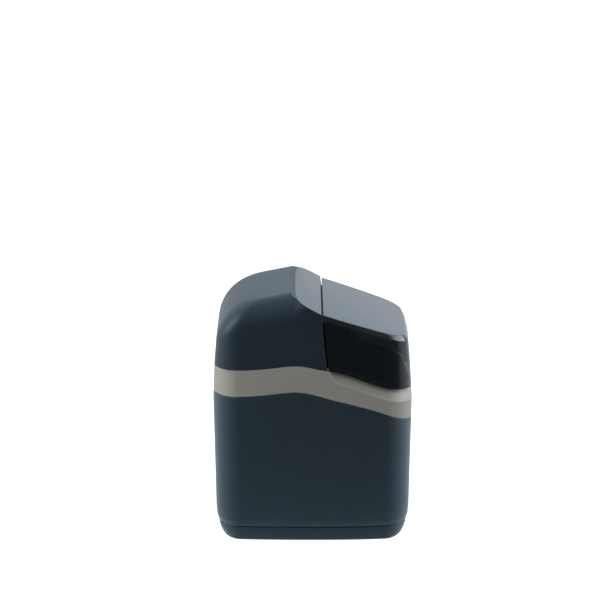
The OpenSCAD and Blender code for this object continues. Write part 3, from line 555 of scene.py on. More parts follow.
def build_finishes(c):
    """Every finish, by the record's slot or by its own name."""
    f = FINISHES
    # blue cast of the light that grazes the two dark plastics
    cool = {"Specular Tint": linear("#c4e0ff"), "Sheen Roughness": 0.5, "Sheen Tint": linear("#b9dcf0")}
    # HDPE, blow-moulded against a grit-blasted mould: a fine matte grain, drawn at 1.4 mm so that it shows
    f["tank_plastic"] = finish("hdpe_blow_moulded", c.tank, 0.45, 0.05, 0.10, 1.4, 0.10, 55.0,
                               **cool, **{"Specular IOR Level": 0.3, "Sheen Weight": 0.48})
    # ABS, injection-moulded with a spark-eroded texture: finer and a little more even than the tank
    f["hood_plastic"] = finish("abs_textured", c.hood, 0.47, 0.05, 0.08, 1.1, 0.06, 70.0,
                               **cool, **{"Specular IOR Level": 0.22, "Sheen Weight": 0.15})
    # PP, injection-moulded, satin warm grey with faint flow clouds
    f["band_plastic"] = finish("pp_satin_grey", c.band, 0.5, 0.05, 0.05, 1.2, 0.03, 60.0,
                               **{"Specular IOR Level": 0.35})
    # lacquered sheet: a silver-blue base coat with fine flake, satin
    f["silver_sheet"] = finish("lacquer_silver_blue", c.sheet, 0.5, 0.05, 0.04, 0.9, 0.02, 80.0,
                               **{"Specular IOR Level": 0.2, "Metallic": 0.1})
    # smoked polycarbonate, polished mould: deep gloss, a little light through it
    f["smoked_window"] = finish("polycarbonate_smoked", c.window, 0.19, 0.03, 0.08, 6.0, 0.004, 90.0,
                                **{"IOR": 1.585, "Specular IOR Level": 0.4, "Specular Tint": linear("#cfe4f4"),
                                   "Alpha": 0.88})
    f["smoked_inside"] = finish("polycarbonate_smoked_inner", c.window, 0.12, 0.03, 0.08, 6.0, 0.004, 90.0,
                                **{"IOR": 1.585, "Alpha": 0.6})
    # ABS moulding, eggshell
    f["dark_plastic"] = finish("abs_moulded_dark", c.dark, 0.5, 0.06, 0.10, 1.3, 0.04, 40.0, wear=0.25)
    # glass-filled polyphenylene: dull, with short fibres that show as flecks along the flow
    f["valve_plastic"] = finish("ppo_glass_filled", c.valve, 0.56, 0.08, 0.16, 1.6, 0.05, 18.0,
                                stretch=(1.0, 1.0, 2.6), wear=0.3)
    # acetal, cut and moulded: even, waxy
    f["white_plastic"] = finish("acetal_natural", c.white, 0.38, 0.05, 0.03, 2.0, 0.01, 30.0)
    f["button_plastic"] = finish("abs_satin_light", c.button, 0.4, 0.04, 0.03, 1.0, 0.01, 20.0, wear=0.3)
    # PVC pipe: faint lines along the extrusion
    f["well_plastic"] = finish("pvc_extruded", c.well, 0.4, 0.05, 0.05, 1.8, 0.02, 50.0, stretch=(1, 1, 0.06))
    f["clear_tube"] = finish("polyethylene_tube", c.tube, 0.3, 0.05, 0.04, 2.0, 0.005, 30.0, **{"Alpha": 0.75})
    # wound glass fibre in blue resin: crossing bands under a gloss coat
    f["tank_fibre"] = finish("glass_fibre_wound", c.fibre, 0.32, 0.10, 0.22, 3.0, 0.12, 9.0,
                             stretch=(0.35, 0.35, 2.2), **{"Coat Weight": 0.4, "Coat Roughness": 0.15})
    # ion-exchange beads, 0.6 mm: drawn at 1.2 mm so that they show
    f["resin"] = finish("resin_beads", c.resin, 0.35, 0.1, 0.4, 1.2, 0.5, 10.0)
    # solder mask over a routed board: glossy green with tracks that show as faint blotches
    f["board"] = finish("epoxy_solder_mask", c.board, 0.35, 0.08, 0.14, 2.4, 0.05, 12.0)
    f["display_glass"] = finish("acrylic_lens", c.window, 0.06, 0.02, 0.05, 5.0, 0.002, 50.0, **{"Alpha": 0.3})
    f["display_green"] = finish("liquid_crystal_panel", c.crystal, 0.3, 0.04, 0.04, 0.8, 0.004, 30.0)
    # EPDM: dull black with bloom
    f["rubber"] = finish("epdm_rubber", c.rubber, 0.75, 0.08, 0.12, 1.2, 0.06, 14.0)
    # zinc-plated steel: bright, with faint drawing lines
    f["bright_steel"] = finish("steel_zinc_plated", c.steel, 0.3, 0.08, 0.08, 0.8, 0.02, 12.0,
                               stretch=(1, 1, 0.2), Metallic=1.0)
    f["brass"] = finish("brass_cut", c.brass, 0.28, 0.08, 0.06, 0.7, 0.02, 10.0, Metallic=1.0)
    f["digit"] = finish("liquid_crystal_segment", linear("#141a14"), 0.4, 0.04, 0.05, 0.8, 0.004, 20.0)
    # pad-printed ink: flat, a little lifted
    f["ink"] = finish("ink_pad_printed", c.ink, 0.5, 0.05, 0.06, 0.8, 0.01, 20.0)


def finish_of(node):
    return FINISHES[SLOT_OF[node]]


def place(obj, node):
    """Rides a piece on its node's body, and stands it in for the node."""
    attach(obj, BODY_OF[node])
    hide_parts(node)


# ---------------------------------------------------------------- cabinet shells


def tank_rows(out):
    """Rows of the brine tank's skin, up the outside and down the inside."""
    foot_side = [(z, s) for z, s, _ in FOOT]
    foot_end = [(z, e) for z, _, e in FOOT]
    rows = [out.foot(z, curve(foot_side, z), curve(foot_end, z)) for z in FOOT_ROWS]
    rows += [out.foot(z, d, d) for z, d in STEP]
    rows += [out.foot(z, curve(WAIST, z), curve(WAIST, z)) for z in WAIST_ROWS]
    edge = low_z(out.depth()) - SHADOW_GAP
    rows += [out.wall(mix(WALL_Z, edge - 1.6, t), 0) for t in np.linspace(0, 1, 19)[1:]]
    rows += [out.wall(edge - dz, d) for dz, d in TANK_EDGE]
    outer = len(rows)
    w = TANK_WALL - 0.3
    rows += [out.wall(edge, w - 0.6), out.wall(edge - 0.6, w)]
    rows += [out.wall(z, w) for z in (BELT_Z - 90, 150, WALL_Z)]
    rows += [out.foot(z, ds + w, de + w) for z, ds, de in INSIDE]
    return rows, outer


def build_tank(sizes):
    """The tank's shell, with its parting line and overflow hole."""
    # columns crowd at the mould's parting line, half way along the side
    marks = [0.5 + d for d in (-0.006, -0.0035, -0.001, 0.001, 0.0035, 0.006)]
    out = Outline(14, 26, 64, 14, marks)
    rows, outer = tank_rows(out)
    groove = np.zeros(out.count)
    for mark, share in zip(marks, (0.0, 0.7, 1.0, 1.0, 0.7, 0.0)):
        groove[(out.run == 2) & (np.abs(out.at - mark) < 1e-5)] = share * sizes.parting_line / MM
    for row in rows[len(FOOT_ROWS) + len(STEP) - 1:outer - len(TANK_EDGE)]:
        row[:, 0] -= groove
    verts, faces = both_sides(np.array(rows), caps=(True, True))
    shell = mesh_object("tank_shell", verts, faces, FINISHES["tank_plastic"])
    x, z = OVERFLOW
    hole = lathe("overflow_cut", [(0, 0), (8, 0), (8, 60), (0, 60)], along((x, HALF_D - 40, z), (0, 1, 0)), None)
    cut(shell, hole)
    crease(shell, 28)
    place(shell, "brine_tank")


def build_band():
    """The waved band, its scoop and its skirt."""
    out = Outline(16, 28, 110, 16)
    y = out.depth()
    low, high, scoop, share = low_z(y), high_z(y), scoop_z(y), scoop_share(y)
    s = SCOOP_D
    lip = mix(SKIN + 0.9, s + 0.5, share)
    ledge = s + 10
    hem = TANK_WALL + SEAT + 0.9
    skirt = np.minimum(low - 12, DECK_Z - 14)
    # from the rounded lower edge up the face, in over the scoop, and down the inside to the skirt
    section = [(low, 1.6), (low + 0.1, 0.9), (low + 0.45, 0.35), (low + 1.1, 0.06)]
    section += [(mix(low + 2.0, np.maximum(scoop - 1.2, low + 2.4), t), 0) for t in (0, 0.2, 0.4, 0.6, 0.8, 1.0)]
    section += [(mix(np.maximum(scoop, low + 3.4), high - 0.6, u), share * s * d) for u, d in COVE]
    section += [(high - 0.25, mix(0.22, s, share)), (high, mix(0.8, s + 0.1, share)), (high, lip),
                (high + 5.6, lip + 0.3), (high + 6, lip + 0.8), (high + 6, lip + 3.0), (DECK_Z, s + 4),
                (DECK_Z, ledge), (DECK_Z - 4, ledge), (DECK_Z - 9, s + 4), (skirt, hem + 3.3), (skirt, hem), (low, hem)]
    verts, faces = both_sides(np.array([out.wall(z, d) for z, d in section]), loop=True)
    band = mesh_object("band_shell", verts, faces, FINISHES["band_plastic"])
    crease(band, 30)
    place(band, "rim_band")


GAP_POINT = np.array([0.0, GAP_Y, GAP_Z])
GAP_NORMAL = np.array([0.0, math.cos(GAP_LEAN), -math.sin(GAP_LEAN)])


def at_gap(angle):
    """Places a shape at the gap's upper edge, tilted about X."""
    return Matrix.Translation(Vector(GAP_POINT) * MM) @ Matrix.Rotation(angle, 4, "X")


# the hood's skin runs on this far in front of the middle, to be cut at the gap
HOOD_FRONT = -GAP_Y + 40.0
HOOD_CORNER = 6.0
# length of the soft bend between the hood's shoulder and roof, on each of them
HOOD_FILLET = 2.2


def trim(grid, off, keep_rear, columns):
    """Cuts each row of a half grid at the gap's leaning plane; the columns picked stay where they are."""
    way = 1 if keep_rear else -1
    keep = int(np.argmax(columns[::way]))
    done = []
    for row in grid[:, ::way]:
        d = way * ((row - GAP_POINT) @ GAP_NORMAL - off)
        n = np.nonzero(d <= 0)[0][-1]
        start = n + d[n] / (d[n] - d[n + 1])
        at = np.concatenate([np.linspace(start, keep, 14, endpoint=False), np.arange(keep, len(row))])
        i = np.clip(at.astype(int), 0, len(row) - 2)
        done.append(mix(row[i], row[i + 1], (at - i)[:, None])[::way])
    return np.array(done)


def hood_ring(out, z):
    """The hood's wall at a height."""
    z = np.zeros(out.count) + z
    r = inset(REAR_IN, z)
    return out.ring(z, HALF_W - inset(SIDE_IN, z), HOOD_FRONT, HALF_D - r, HOOD_CORNER, CORNER_R - r)


def roof_z(y, blend):
    """Top and slanted face of the hood, blended over the width of the ridge's bend."""
    top, slope = top_z(y), slope_z(y)
    h = np.clip(0.5 + 0.5 * (slope - top) / blend, 0, 1)
    return mix(slope, top, h) - blend * h * (1 - h) * 0.5


def hood_column(path, blend):
    """One column of the hood, up a shoulder's path, round a fillet and over the roof; and where path and roof meet."""
    over = path[:, 2] - (roof_z(path[:, 1], blend) - 0.02)
    n = int(np.argmax(over > 0))
    if n:
        t = np.clip(-over[n - 1] / (over[n] - over[n - 1] + 1e-9), 0, 1)
        path = np.concatenate([path[:n], [mix(path[n - 1], path[n], t)]])
    run = np.concatenate([[0], np.cumsum(np.linalg.norm(np.diff(path, axis=0), axis=1))])
    meet = path[-1]
    # columns behind the ridge gather at one point of the roof
    goal = np.array([0.0, min(meet[1], RIDGE_Y + 12), 0.0])
    span = math.hypot(meet[0], goal[1] - meet[1])
    before, after = min(HOOD_FILLET, run[-1] * 0.4), min(HOOD_FILLET, span * 0.4)
    lengths = np.linspace(0, run[-1] - before, 18)
    shoulder = np.stack([np.interp(lengths, run, axis) for axis in path.T], 1)
    share = (after + (span - after) * np.linspace(0, 1, 16)) / max(span, 1e-6)
    roof = mix(meet, goal, share[:, None])
    roof[:, 2] = roof_z(roof[:, 1], blend)
    t = np.linspace(0, 1, 8)[1:-1, None]
    fillet = (1 - t) ** 2 * shoulder[-1] + 2 * t * (1 - t) * meet + t * t * roof[0]
    return np.concatenate([shoulder, fillet, roof]), meet


def hood_grid(out, blend):
    """The hood's outer skin, and where its roof starts.

    The skin is a wall, a rounded shoulder and a roof that breaks at the ridge.
    """
    back = np.where(out.run == 3, out.at, np.where(out.run == 4, 1.0, 0.0))
    # the shoulder is tighter beside the slanted face
    along_y = hood_ring(out, RIM_Z + 80)[:, 1]
    shoulder_r = SIDE_ROUND * mix(0.7, 1.0, ease((along_y - RIDGE_Y + 40) / 40))
    rise = mix(shoulder_r, REAR_ROUND, ease(back))
    wall_z = top_z(along_y) - rise
    # beside the slanted face the wall meets the roof before its shoulder starts
    start_z = np.minimum(wall_z, slope_z(along_y) - 12)
    edge = high_z(hood_ring(out, RIM_Z)[:, 1]) + SEAT + 0.2
    rows = [hood_ring(out, edge), hood_ring(out, edge + 0.8)]
    rows += [hood_ring(out, mix(edge, start_z, t)) for t in (0.06, 0.15, 0.28, 0.42, 0.56, 0.7, 0.84)]
    r_in = inset(REAR_IN, wall_z)
    s_in = inset(SIDE_IN, wall_z)
    paths = [hood_ring(out, mix(start_z, wall_z, t)) for t in np.linspace(0, 1, 40, endpoint=False)]
    for t in np.radians(np.linspace(0, 90, 121)):
        c = 1 - math.cos(t)
        x, y = out.plan(HALF_W - s_in - shoulder_r * c, HOOD_FRONT, HALF_D - r_in - REAR_ROUND * c, HOOD_CORNER,
                        CORNER_R - r_in - 20 * c, wall_z)
        paths.append(np.stack([x, y, top_z(y) - rise * (1 - math.sin(t))], 1))
    columns, meets = zip(*(hood_column(path, blend) for path in np.array(paths).transpose(1, 0, 2)))
    return np.concatenate([np.array(rows), np.array(columns).transpose(1, 0, 2)]), np.array(meets)[:, :2]


def inlay_outline(brow):
    """The inlay's outline on the slanted face, from its right end round to its left, mm; the brow trims its ends."""
    half, depth = HALF_W + 4, 63
    points = []
    for t in np.radians(np.linspace(0, 180, 161)):
        c, s = math.cos(t), max(math.sin(t), 0.0)
        x, y = math.copysign(abs(c) ** 0.5, c) * half, GAP_Y + 1.5 + depth * s ** 0.5
        x = math.copysign(min(abs(x), float(np.interp(y, brow[:, 1], brow[:, 0])) - 0.5), c)
        points.append((x, (y - GAP_Y) / math.cos(INLAY_A)))
    return points


def prism(name, outline, low, high, material, place_at, edge=0.0):
    """A flat sheet with an outline in mm, its upper edge broken."""
    bm = bmesh.new()
    face = bm.faces.new([bm.verts.new((x * MM, y * MM, high * MM)) for x, y in outline])
    made = bmesh.ops.extrude_face_region(bm, geom=[face])
    moved = [v for v in made["geom"] if isinstance(v, bmesh.types.BMVert)]
    bmesh.ops.translate(bm, vec=(0, 0, (low - high) * MM), verts=moved)
    bmesh.ops.recalc_face_normals(bm, faces=bm.faces)
    if edge:
        top = [e for e in bm.edges if all(abs(v.co.z - high * MM) < 1e-7 for v in e.verts)]
        bmesh.ops.bevel(bm, geom=top, offset=edge * MM, segments=3, profile=0.5, affect="EDGES")
    bmesh.ops.transform(bm, matrix=place_at, verts=bm.verts)
    return from_bmesh(name, bm, material)


def build_hood(sizes):
    """The hood's shell with the notch for the ports, and the inlay bonded on its slanted face."""
    # columns crowd at the ridge, whose ends the bowed plan brings forward a little
    start, run = HOOD_CORNER - HOOD_FRONT, HALF_D - CORNER_R - HOOD_CORNER + HOOD_FRONT
    out = Outline(6, 20, 80, 12, [(RIDGE_Y * 1.0075 + d - start) / run for d in np.arange(-4, 4.5)])
    skin, brow = hood_grid(out, sizes.ridge_blend / MM)
    past = (out.run == 2) & (skin[0, :, 1] > GAP_Y + 16)
    verts, faces = both_sides(trim(skin, VISOR_GAP / 2, True, past))
    hood = mesh_object("hood_shell", verts, faces, FINISHES["hood_plastic"])
    thicken(hood, SKIN, sizes.shell_edge / MM)
    notch = block("notch_cut", (-92, HALF_D - 60, RIM_Z - 60), (92, HALF_D + 40, PORT_Z + 41), 6.0, None, segments=4)
    cut(hood, notch)
    crease(hood, 32)
    place(hood, "rear_hood")
    side = brow[(out.run == 2) & (brow[:, 1] < RIDGE_Y)]
    sheet = prism("inlay_sheet", inlay_outline(side[np.argsort(side[:, 1])]), -SHEET_T, 0.15,
                  FINISHES["silver_sheet"], at_gap(INLAY_A), sizes.sheet_edge / MM * 0.4)
    far, end = 600.0, VISOR_GAP / 2 + 0.2
    cut(sheet, block("gap_cut", (-far, end - far, -far), (far, end, far), 0, None, at_gap(-GAP_LEAN)))
    crease(sheet, 20)
    place(sheet, "hood_inlay")


def visor_ring(out, z, d):
    """The visor's wall at a height, a distance inside it."""
    z = np.zeros(out.count) + z
    f = inset(FRONT_IN, z)
    return out.ring(z, HALF_W - inset(SIDE_IN, z) - d, HALF_D - f - d, GAP_Y + 40.0, CORNER_R - f - d, 5.0)


def visor_top(out, y, below, d):
    """The visor's outline a distance below the plate's slant, a distance inside the wall."""
    p = visor_ring(out, plate_z(y) - below, d)
    p[:, 2] = plate_z(p[:, 1]) - below
    return p


def visor_columns():
    """The visor's outline, where its columns stand along the depth, and which lie clear of the gap."""
    out = Outline(14, 30, 90, 4)
    y = visor_ring(out, GAP_Z - 60, 0)[:, 1]
    return out, y, (out.run == 2) & (y < GAP_Y - 25)


def build_visor(sizes):
    """The smoked window: a bevelled shell with its feet and hinge knuckles."""
    out, y, past = visor_columns()
    edge = high_z(y) + 0.5
    shoulder = plate_z(y) - BEVEL_H
    # the window's top lies this far under the plate's
    under = (SHEET_T + 0.1) / math.cos(PLATE_A)
    rows = [visor_ring(out, mix(edge, shoulder - 1.2, t), 0)
            for t in (0, 0.012, 0.05, 0.12, 0.22, 0.34, 0.46, 0.58, 0.7, 0.82, 0.91)]
    # rounded lower edge of the bevel, the bevel, its crisp upper edge, and the top towards the middle
    rows += [visor_ring(out, shoulder - dz, d) for dz, d in ((1.2, 0.0), (0.5, 0.05), (-0.2, 0.22), (-0.9, 0.55))]
    rows += [visor_top(out, y, mix(BEVEL_H - 0.9, under, t), mix(0.55, BEVEL_W, t)) for t in (0.25, 0.5, 0.75, 0.92)]
    last = visor_top(out, y, under, BEVEL_W + 0.2)
    rows += [last * (1 - t, 1, 1) for t in (0, 0.15, 0.4, 0.7, 1.0)]
    verts, faces = both_sides(trim(np.array(rows), -VISOR_GAP / 2, False, past))
    glass = mesh_object("visor_glass", verts, faces, FINISHES["smoked_window"])
    glass.data.materials.append(FINISHES["smoked_inside"])
    thicken(glass, SKIN, sizes.shell_edge / MM, 1)
    slots = [block("slot_cut", (s * HINGE_X - 8.2, HINGE_Y - 5.5, HINGE_Z - 20),
                   (s * HINGE_X + 8.2, HINGE_Y + 24.5, HINGE_Z + 20), 0, None) for s in (-1, 1)]
    cut(glass, *slots)
    extras = [glass]
    inner = FINISHES["smoked_inside"]
    foot_x = 70
    foot_z = float(high_z(-HALF_D)) + 9.3
    foot_y = -(HALF_D - float(inset(FRONT_IN, foot_z)) - SKIN + 0.4) * (1 - FRONT_BOW / HALF_D * (foot_x / HALF_W) ** 2)
    ring = [(PIN_R, 0), (KNUCKLE_R - 0.4, 0), (KNUCKLE_R, 0.4), (KNUCKLE_R, 7.6), (KNUCKLE_R - 0.4, 8), (PIN_R, 8),
            (PIN_R, 0)]
    for s in (-1, 1):
        extras.append(block("foot", (s * foot_x - 12, foot_y, foot_z),
                            (s * foot_x + 12, foot_y + SCOOP_D + 1, foot_z + 6), 0.8, inner))
        for x in (s * HINGE_X - 17, s * HINGE_X + 9):
            extras.append(lathe("knuckle", ring, along((x, HINGE_Y, HINGE_Z), (1, 0, 0)), inner, 40))
    whole = join("visor_glass", extras)
    whole.data.shade_smooth()
    crease(whole, 30)
    place(whole, "visor_window")


def build_plate(sizes):
    """The silver plate that lies on the window's top."""
    out, y, past = visor_columns()
    row = trim(visor_top(out, y, 0.0, BEVEL_W + 0.4)[None], -VISOR_GAP / 2, False, past)[0]
    half = [(p[0], (p[1] - GAP_Y) / math.cos(PLATE_A)) for p in row]
    outline = half + [(-x, v) for x, v in half[-1:0:-1]]
    sheet = prism("plate_sheet", outline, -SHEET_T, 0.0, FINISHES["silver_sheet"], at_gap(PLATE_A),
                  sizes.sheet_edge / MM)
    crease(sheet, 20)
    place(sheet, "visor_plate")


# ---------------------------------------------------------------- mouldings and fittings


def dress(node, edge):
    """A copy of a CAD node with its facets merged, its edges broken and its round faces smooth."""
    sharp = 35
    bm = bmesh.new()
    bm.from_mesh(NODES[node].data)
    merge_doubles(bm)
    bmesh.ops.dissolve_limit(bm, angle_limit=math.radians(0.6), verts=bm.verts, edges=bm.edges)
    obj = from_bmesh(node + "_moulding", bm, finish_of(node))
    if edge:
        break_edges(obj, edge, sharp)
        settle(obj)
    obj.data.shade_smooth()
    return crease(obj, sharp)


# upper and lower edge of the console's slanted face: y, z
FACE_TOP = (HINGE_Y - 21.2, HINGE_Z - 17.0)
FACE_LOW = (HINGE_Y - 76.2, HINGE_Z - 103.0)


def face_place(u, v):
    """Local x along the console's slanted face, y up it, z out of it, mm."""
    (y1, z1), (y0, z0) = FACE_TOP, FACE_LOW
    middle = Matrix.Translation((0, (y1 + y0) / 2 * MM, (z1 + z0) / 2 * MM))
    turn = Matrix.Rotation(math.atan2(z1 - z0, y1 - y0), 4, "X")
    return middle @ turn @ Matrix.Translation((u * MM, v * MM, 0))


def arc_points(r, count, start=0.0, sweep=360.0):
    """Points on a circle or, with both ends, on an arc, mm."""
    angles = np.radians(np.linspace(start, start + sweep, count, endpoint=sweep != 360.0))
    return [(r * math.cos(a), r * math.sin(a)) for a in angles]


def build_console(sizes):
    """Console housing with broken edges, and the display's digits behind its lens."""
    place(dress("console_housing", 1.0), "console_housing")
    bits = [dress("display_module", 0.3)]

    def segment(points):
        bits.append(prism("segment", points, -3.19, -3.08, FINISHES["digit"], face_place(0, 18)))

    h = sizes.digit_height / MM
    w, t = h * 0.5, h * 0.11
    # segments of each digit: top, upper right, lower right, bottom, lower left, upper left, middle
    segments = {"0": "abcdef", "1": "bc", "2": "abdeg", "3": "abcdg"}
    at = {"a": (0, h / 2, 1), "g": (0, 0, 1), "d": (0, -h / 2, 1), "b": (w / 2, h / 4, 0), "c": (w / 2, -h / 4, 0),
          "f": (-w / 2, h / 4, 0), "e": (-w / 2, -h / 4, 0)}
    for digit, u in zip("1230", (-1.75 * w, -0.6 * w, 1.0 * w, 2.15 * w)):
        for name in segments[digit]:
            x, y, flat = at[name]
            reach = (w if flat else h / 2) / 2 - 0.25
            bar = [(reach, 0), (reach - t / 2, t / 2), (t / 2 - reach, t / 2), (-reach, 0), (t / 2 - reach, -t / 2),
                   (reach - t / 2, -t / 2)]
            bar = bar if flat else [(-q, p) for p, q in bar]
            segment([(p + x + u, q + y) for p, q in bar])
    for y in (h / 5, -h / 5):
        segment([(p + 0.2 * w, q + y) for p, q in arc_points(t * 0.6, 16)])
    place(join("display_panel", bits), "display_module")


# outline of each button's sign, mm
SIGNS = {
    "button_back": [(-3.6, 0), (0.4, 3.2), (0.4, 1.2), (3.4, 1.2), (3.4, -1.2), (0.4, -1.2), (0.4, -3.2)],
    "button_down": [(3.4, 1.9), (-3.4, 1.9), (0, -3.1)],
    "button_up": [(3.4, -1.9), (0, 3.1), (-3.4, -1.9)],
    "button_enter": arc_points(3.3, 33, 40, 280) + arc_points(2.1, 33, 320, -280),
}


def build_buttons():
    """Four push buttons, each with its pad-printed sign, on their own keys."""
    for k, (node, sign) in enumerate(SIGNS.items()):
        cap = dress(node, 0.6)
        mark = prism("sign", sign, 1.55, 1.66, FINISHES["ink"], face_place((k - 1.5) * 24, -26))
        place(join(node + "_cap", [cap, mark]), node)


def grow_points(name, points):
    """A mesh of loose points, mm, for geometry nodes to work on."""
    mesh = bpy.data.meshes.new(name)
    mesh.from_pydata([[v * MM for v in p] for p in points], [], [])
    return link(name, mesh, None, smooth=False)


def run_tree(obj, tree, values, edge=0.0):
    """Runs a geometry node tree on an object and keeps the result as a plain mesh."""
    tool = obj.modifiers.new(tree.name, "NODES")
    tool.node_group = tree
    for item in tree.interface.items_tree:
        if item.in_out == "INPUT" and item.name in values:
            tool[item.identifier] = values[item.name]
    if edge:
        break_edges(obj, edge, 40)
    settle(obj)
    obj.data.shade_smooth()
    crease(obj, 35)


def new_tree(name, inputs):
    """A geometry node tree with named inputs, its group input and its group output."""
    tree = bpy.data.node_groups.new(name, "GeometryNodeTree")
    tree.interface.new_socket("Points", in_out="INPUT", socket_type="NodeSocketGeometry")
    for label, kind in inputs:
        tree.interface.new_socket(label, in_out="INPUT", socket_type="NodeSocket" + kind)
    tree.interface.new_socket("Mesh", in_out="OUTPUT", socket_type="NodeSocketGeometry")
    return tree, add(tree, "NodeGroupInput").outputs, add(tree, "NodeGroupOutput").inputs


def spread_on_points(tree, given, shape, output):
    """Puts a shape on every point, turned, as real mesh in the given material."""
    turn = add(tree, "FunctionNodeEulerToRotation", links={"Euler": given["Turn"]})
    spread = add(tree, "GeometryNodeInstanceOnPoints",
                 links={"Points": given["Points"], "Instance": shape, "Rotation": turn.outputs["Rotation"]})
    real = add(tree, "GeometryNodeRealizeInstances", links={"Geometry": spread.outputs["Instances"]})
    done = add(tree, "GeometryNodeSetMaterial",
               links={"Geometry": real.outputs["Geometry"], "Material": given["Material"]})
    tree.links.new(done.outputs["Geometry"], output["Mesh"])


def screw_tree():
    """A cheese-head screw with a hexagon socket on every point, its head upwards from there."""
    tree, given, output = new_tree("socket_screws", [
        ("Head Radius", "Float"), ("Head Height", "Float"), ("Socket Width", "Float"), ("Shank Radius", "Float"),
        ("Shank Length", "Float"), ("Turn", "Vector"), ("Material", "Material")])

    def rod(sides, low, high, depth, lift):
        # a straight or tapered rod, moved up by a share of its depth
        cone = add(tree, "GeometryNodeMeshCone", {"fill_type": "NGON"}, {"Vertices": sides},
                   {"Radius Bottom": low, "Radius Top": high, "Depth": depth})
        up = add(tree, "ShaderNodeCombineXYZ", links={"Z": maths(tree, "MULTIPLY", depth, lift)})
        return add(tree, "GeometryNodeTransform", links={"Geometry": cone.outputs["Mesh"],
                                                         "Translation": up.outputs["Vector"]}).outputs["Geometry"]

    height, shank_r = given["Head Height"], given["Shank Radius"]
    head = rod(32, given["Head Radius"], maths(tree, "MULTIPLY", given["Head Radius"], 0.94), height, 0.0)
    # width across flats to the hexagon's own radius
    reach = maths(tree, "MULTIPLY", given["Socket Width"], 0.57735)
    head = add(tree, "GeometryNodeMeshBoolean", {"operation": "DIFFERENCE"},
               links={"Mesh 1": head, "Mesh 2": rod(6, reach, reach, height, 0.4)})
    shank = rod(20, shank_r, shank_r, given["Shank Length"], -1.0)
    whole = add(tree, "GeometryNodeJoinGeometry")
    tree.links.new(head.outputs["Mesh"], whole.inputs["Geometry"])
    tree.links.new(shank, whole.inputs["Geometry"])
    spread_on_points(tree, given, whole.outputs["Geometry"], output)
    return tree


# half of a thread's ridge, as a share of its pitch
RIDGE_SHARE = 0.48


def thread_tree():
    """A thread's ridge that winds along +Z from every point."""
    tree, given, output = new_tree("pipe_thread", [
        ("Radius", "Float"), ("Pitch", "Float"), ("Turns", "Float"), ("Turn", "Vector"), ("Material", "Material")])
    half = maths(tree, "MULTIPLY", given["Pitch"], RIDGE_SHARE)
    middle = maths(tree, "SUBTRACT", given["Radius"], half)
    path = add(tree, "GeometryNodeCurveSpiral", inputs={"Resolution": 40},
               links={"Rotations": given["Turns"], "Start Radius": middle, "End Radius": middle,
                      "Height": maths(tree, "MULTIPLY", given["Pitch"], given["Turns"])})
    upright = add(tree, "GeometryNodeSetCurveNormal", {"mode": "Z_UP"}, links={"Curve": path.outputs["Curve"]})
    ridge = add(tree, "GeometryNodeCurvePrimitiveCircle", inputs={"Resolution": 4}, links={"Radius": half})
    wound = add(tree, "GeometryNodeCurveToMesh", inputs={"Fill Caps": True},
                links={"Curve": upright.outputs["Curve"], "Profile Curve": ridge.outputs["Curve"]})
    spread_on_points(tree, given, wound.outputs["Mesh"], output)
    return tree


def build_screws(sizes):
    """Cover and bracket screws of the valve."""
    tree = screw_tree()
    circle_r, cover_r = 57, 3.8
    # node, places, head radius and height, shank radius and length
    rows = [("cover_screws", [(circle_r * math.cos(a), TANK_Y + circle_r * math.sin(a), PORT_Z + 50.2)
                              for a in np.radians(np.arange(30, 360, 60))], cover_r, 3.0, 1.85, 18.2),
            ("bracket_screws", [(s * 31, MOTOR_Y, PORT_Z + 78.9) for s in (-1, 1)], 3.0, 2.0, 1.5, 8.4)]
    for node, points, radius, height, shank, length in rows:
        obj = grow_points(node + "_set", points)
        run_tree(obj, tree, {"Head Radius": radius * MM, "Head Height": height * MM, "Shank Radius": shank * MM,
                             "Socket Width": sizes.screw_socket * radius / cover_r, "Shank Length": length * MM,
                             "Turn": (0, 0, 0), "Material": FINISHES["bright_steel"]}, 0.2)
        place(obj, node)


def build_ports(sizes):
    """Inlet and outlet with their pipe threads, and the drain's barb."""
    tree = thread_tree()
    pitch = sizes.thread_pitch / MM
    core = PORT_R - 0.9 * pitch * RIDGE_SHARE
    # distances from the tank's axis; threads and barbs start outside the port panel
    start, end = PANEL_Y + 4 - TANK_Y, PORT_END - TANK_Y
    turns = (end - start) / pitch - 0.9
    stuff = FINISHES["valve_plastic"]
    profile = [(11, 78), (13.6, 78), (14, 78.4), (14, 100.3), (21.5, 100.3), (22, 100.8), (22, 105.5), (21.5, 106),
               (15, 106), (15, start), (core, start), (core, end - 1.2), (core - 1.1, end), (11.6, end),
               (11, end - 0.6), (11, 78)]
    for node, x in (("inlet_adaptor", 32.0), ("outlet_adaptor", -32.0)):
        body = lathe(node + "_body", profile, along((x, TANK_Y, PORT_Z), (0, 1, 0)), stuff, 72)
        ridge = grow_points("ridge", [(x, TANK_Y + start + 0.5 * pitch, PORT_Z)])
        run_tree(ridge, tree, {"Radius": PORT_R * MM, "Pitch": sizes.thread_pitch, "Turns": turns,
                               "Turn": (-math.pi / 2, 0, 0), "Material": stuff})
        place(join(node + "_fitting", [body, ridge]), node)
    r, step, rings, end = 6.4, sizes.barb_step / MM, 4, end - 2
    profile = [(4.4, 60), (r - 0.3, 60), (r, 60.3), (r, 84.3), (9.6, 84.3), (10, 84.7), (10, 89.9), (9.6, 90.3),
               (r - 0.8, 90.3), (r - 0.8, start)]
    run = (end - start) / rings
    for k in range(rings):
        a = start + k * run
        profile += [(r, a + 0.2), (r, a + 0.7), (r - step, a + run - 0.05)]
    profile += [(4.8, end), (4.4, end - 0.4), (4.4, 60)]
    barb = lathe("drain_barb", profile, along((76, TANK_Y, PORT_Z), (0, 1, 0)), stuff, 48)
    place(barb, "drain_fitting")


